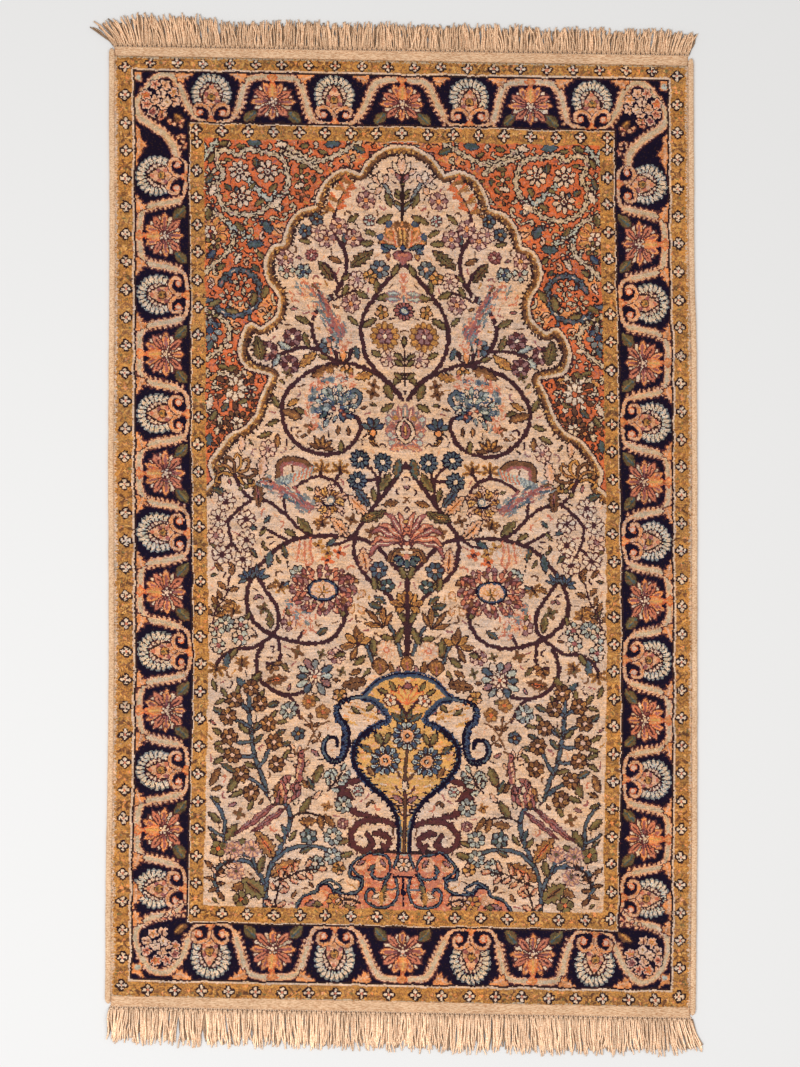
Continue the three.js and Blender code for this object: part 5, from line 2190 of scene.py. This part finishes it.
def warp_pairs(roots, way, pitch, rng):
    """Two warps running from the weave into each knot."""
    rings, sides = 5, 6
    root_x, root_y = (np.repeat(values, 2)[:, None] for values in roots.T)
    along = np.linspace(0, 1, rings)[None, :]
    offset = np.tile([-1.0, 1.0], TASSELS) * pitch * 0.34
    paths = np.stack([
        root_x + offset[:, None] * (1 - 0.6 * along ** 0.8),
        root_y + way * (-0.8 * MM + KNOT_ROW * along),
        1.3 * MM + 0.5 * MM * np.sin(np.pi * along) + np.zeros((2 * TASSELS, 1)),
    ], -1)
    radii = np.full((2 * TASSELS, rings), WARP)
    return tubes(paths, radii, sides), np.repeat(rng.uniform(0.8, 1.0, 2 * TASSELS), rings * sides)


def knot_row(roots, way, rng):
    """The knots, lying across the warps at uneven distances from the weave."""
    rings, sides = 6, 8
    root_x, root_y = roots.T[:, :, None]
    along = np.linspace(-1, 1, rings)[None, :]
    off = KNOT_ROW * (0.8 + 0.15 * rng.standard_normal(TASSELS))[:, None]
    paths = np.stack([
        root_x + KNOT_REACH * along,
        root_y + way * off + 0 * along,
        1.9 * MM + 0.6 * MM * (1 - along ** 2) + np.zeros((TASSELS, 1)),
    ], -1)
    radii = KNOT * np.sqrt(1.06 - along ** 2) * np.ones((TASSELS, 1))
    return tubes(paths, radii, sides), np.repeat(rng.uniform(0.86, 1.08, TASSELS), rings * sides)


def make_fringe(name, way, table, seed):
    """Warp cords drawn together in pairs, knotted, and left loose: way is -1 bottom, 1 top."""
    rng = np.random.default_rng(seed)
    end = WEAVE_ENDS[0 if way < 0 else 1]
    left, right = (corner(ground, side, way)[0] + side * FRINGE_OUT for side in (-1, 1))
    share = (np.arange(TASSELS) + 0.5) / TASSELS
    at_share, lengths, leans = np.array(table, float).T
    clumps = drift_noise(TASSELS, 2, (3, 1), rng)
    length = (np.interp(share, at_share, lengths) + 2.2 * clumps[:, 0]) * MM
    lean = (np.interp(share, at_share, leans) + 3.2 * clumps[:, 1] + rng.standard_normal(TASSELS)) * MM
    roots = np.stack([left + share * (right - left), end(share)], -1)
    made = [loose_cords(roots, way, length, lean, layer, rng) for layer in LAYERS]
    made.append(warp_pairs(roots, way, (right - left) / TASSELS, rng))
    made.append(knot_row(roots, way, rng))

    points, faces, first = [], [], 0
    for (part, *groups), _ in made:
        points.append(part)
        for group in groups:
            faces += (group + first).tolist()
        first += len(part)
    points = np.concatenate(points)
    points[:, 2] = np.maximum(points[:, 2], FLOOR_GAP)
    material = yarn_material(name + "_yarn", (1.0, 1.0, 1.0), 900.0, 0.3 * MM, "tone")
    piece = new_piece(name + "_cords", points, faces, material)

    tone = np.concatenate([tones for _, tones in made])
    # the shadows between the cords are a little warmer than the cords
    values = np.stack([tone, tone ** 1.04, tone ** 1.08, np.ones_like(tone)], -1) * TINTS_AND_PAINTED_SHADE[way]
    layer = piece.data.attributes.new("tone", "FLOAT_COLOR", "POINT")
    layer.data.foreach_set("color", values.astype(np.float32).ravel())
    return piece


# ---- floor, light and camera -------------------------------------------------------------------

FLOOR_TONE = 0.80
LENS = 100.0
SENSOR = 36.0
VIEW_TALL = 1.3871            # what the picture takes in, in metres from top to bottom
VIEW_CENTRE = (0.0, 0.0004)


def make_floor():
    """The pale floor the rug lies on: staging, not a part of the rug."""
    side = 8.0
    corners = [(-side, -side, 0), (side, -side, 0), (side, side, 0), (-side, side, 0)]
    material, tree, shader = new_material("floor", roughness=0.9, specular=0.1)
    grain = node(tree, "ShaderNodeTexNoise", {"Scale": 3.0, "Detail": 3.0})
    tone = node(tree, "ShaderNodeMapRange",
                {"Value": grain.outputs[0], "To Min": FLOOR_TONE - 0.01, "To Max": FLOOR_TONE + 0.01})
    tree.links.new(tone.outputs[0], shader.inputs["Base Color"])
    floor = new_piece("floor", corners, [(0, 1, 2, 3)], material, smooth=False)


def make_light(name, place, size, power):
    """A square softbox aimed at the middle of the rug."""
    lamp = bpy.data.lights.new(name, "AREA")
    lamp.shape = "SQUARE"
    lamp.size = size
    lamp.energy = power
    light = bpy.data.objects.new(name, lamp)
    light.location = place
    light.rotation_mode = "QUATERNION"
    light.rotation_quaternion = Vector(place).to_track_quat("Z", "Y")
    bpy.context.scene.collection.objects.link(light)


def make_camera():
    """A long lens straight above the rug."""
    camera = bpy.data.cameras.new("camera")
    camera.lens = LENS
    camera.sensor_width = SENSOR
    camera.clip_start = 0.1
    camera.clip_end = 50.0
    placed = bpy.data.objects.new("camera", camera)
    placed.location = (*VIEW_CENTRE, VIEW_TALL * LENS / SENSOR)
    bpy.context.scene.collection.objects.link(placed)
    bpy.context.scene.camera = placed


def light_scene():
    """Soft light from all round, a softbox at the left and a weaker one at the right."""
    world = bpy.data.worlds.new("studio")
    world.use_nodes = True
    world.node_tree.nodes["Background"].inputs[0].default_value = (1.0, 0.985, 0.965, 1)
    world.node_tree.nodes["Background"].inputs[1].default_value = 0.55
    bpy.context.scene.world = world
    make_light("key", (-1.5, -0.9, 2.8), 1.6, 50.0)
    make_light("fill", (1.7, -0.5, 3.0), 2.4, 27.0)
    bpy.context.scene.view_settings.view_transform = "Standard"


# ---- assembly ----------------------------------------------------------------------------------

draw_rug()
light_scene()
make_floor()
make_camera()

pile = make_pile()
foundation = make_foundation()
selvedges = [make_selvedge("selvedge_left", -1), make_selvedge("selvedge_right", 1)]
fringes = [
    make_fringe("fringe_top", 1, TOP_FRINGE, 31),
    make_fringe("fringe_bottom", -1, BOTTOM_FRINGE, 47),
]

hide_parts("rug_body")
for piece, cad_node in zip(selvedges, ("selvedge_left", "selvedge_right")):
    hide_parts(cad_node)
for piece, cad_node in zip(fringes, ("fringe_top", "fringe_bottom")):
    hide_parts(cad_node)
for piece in (pile, foundation, *selvedges, *fringes):
    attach(piece, "root")

bpy.context.view_layer.update()
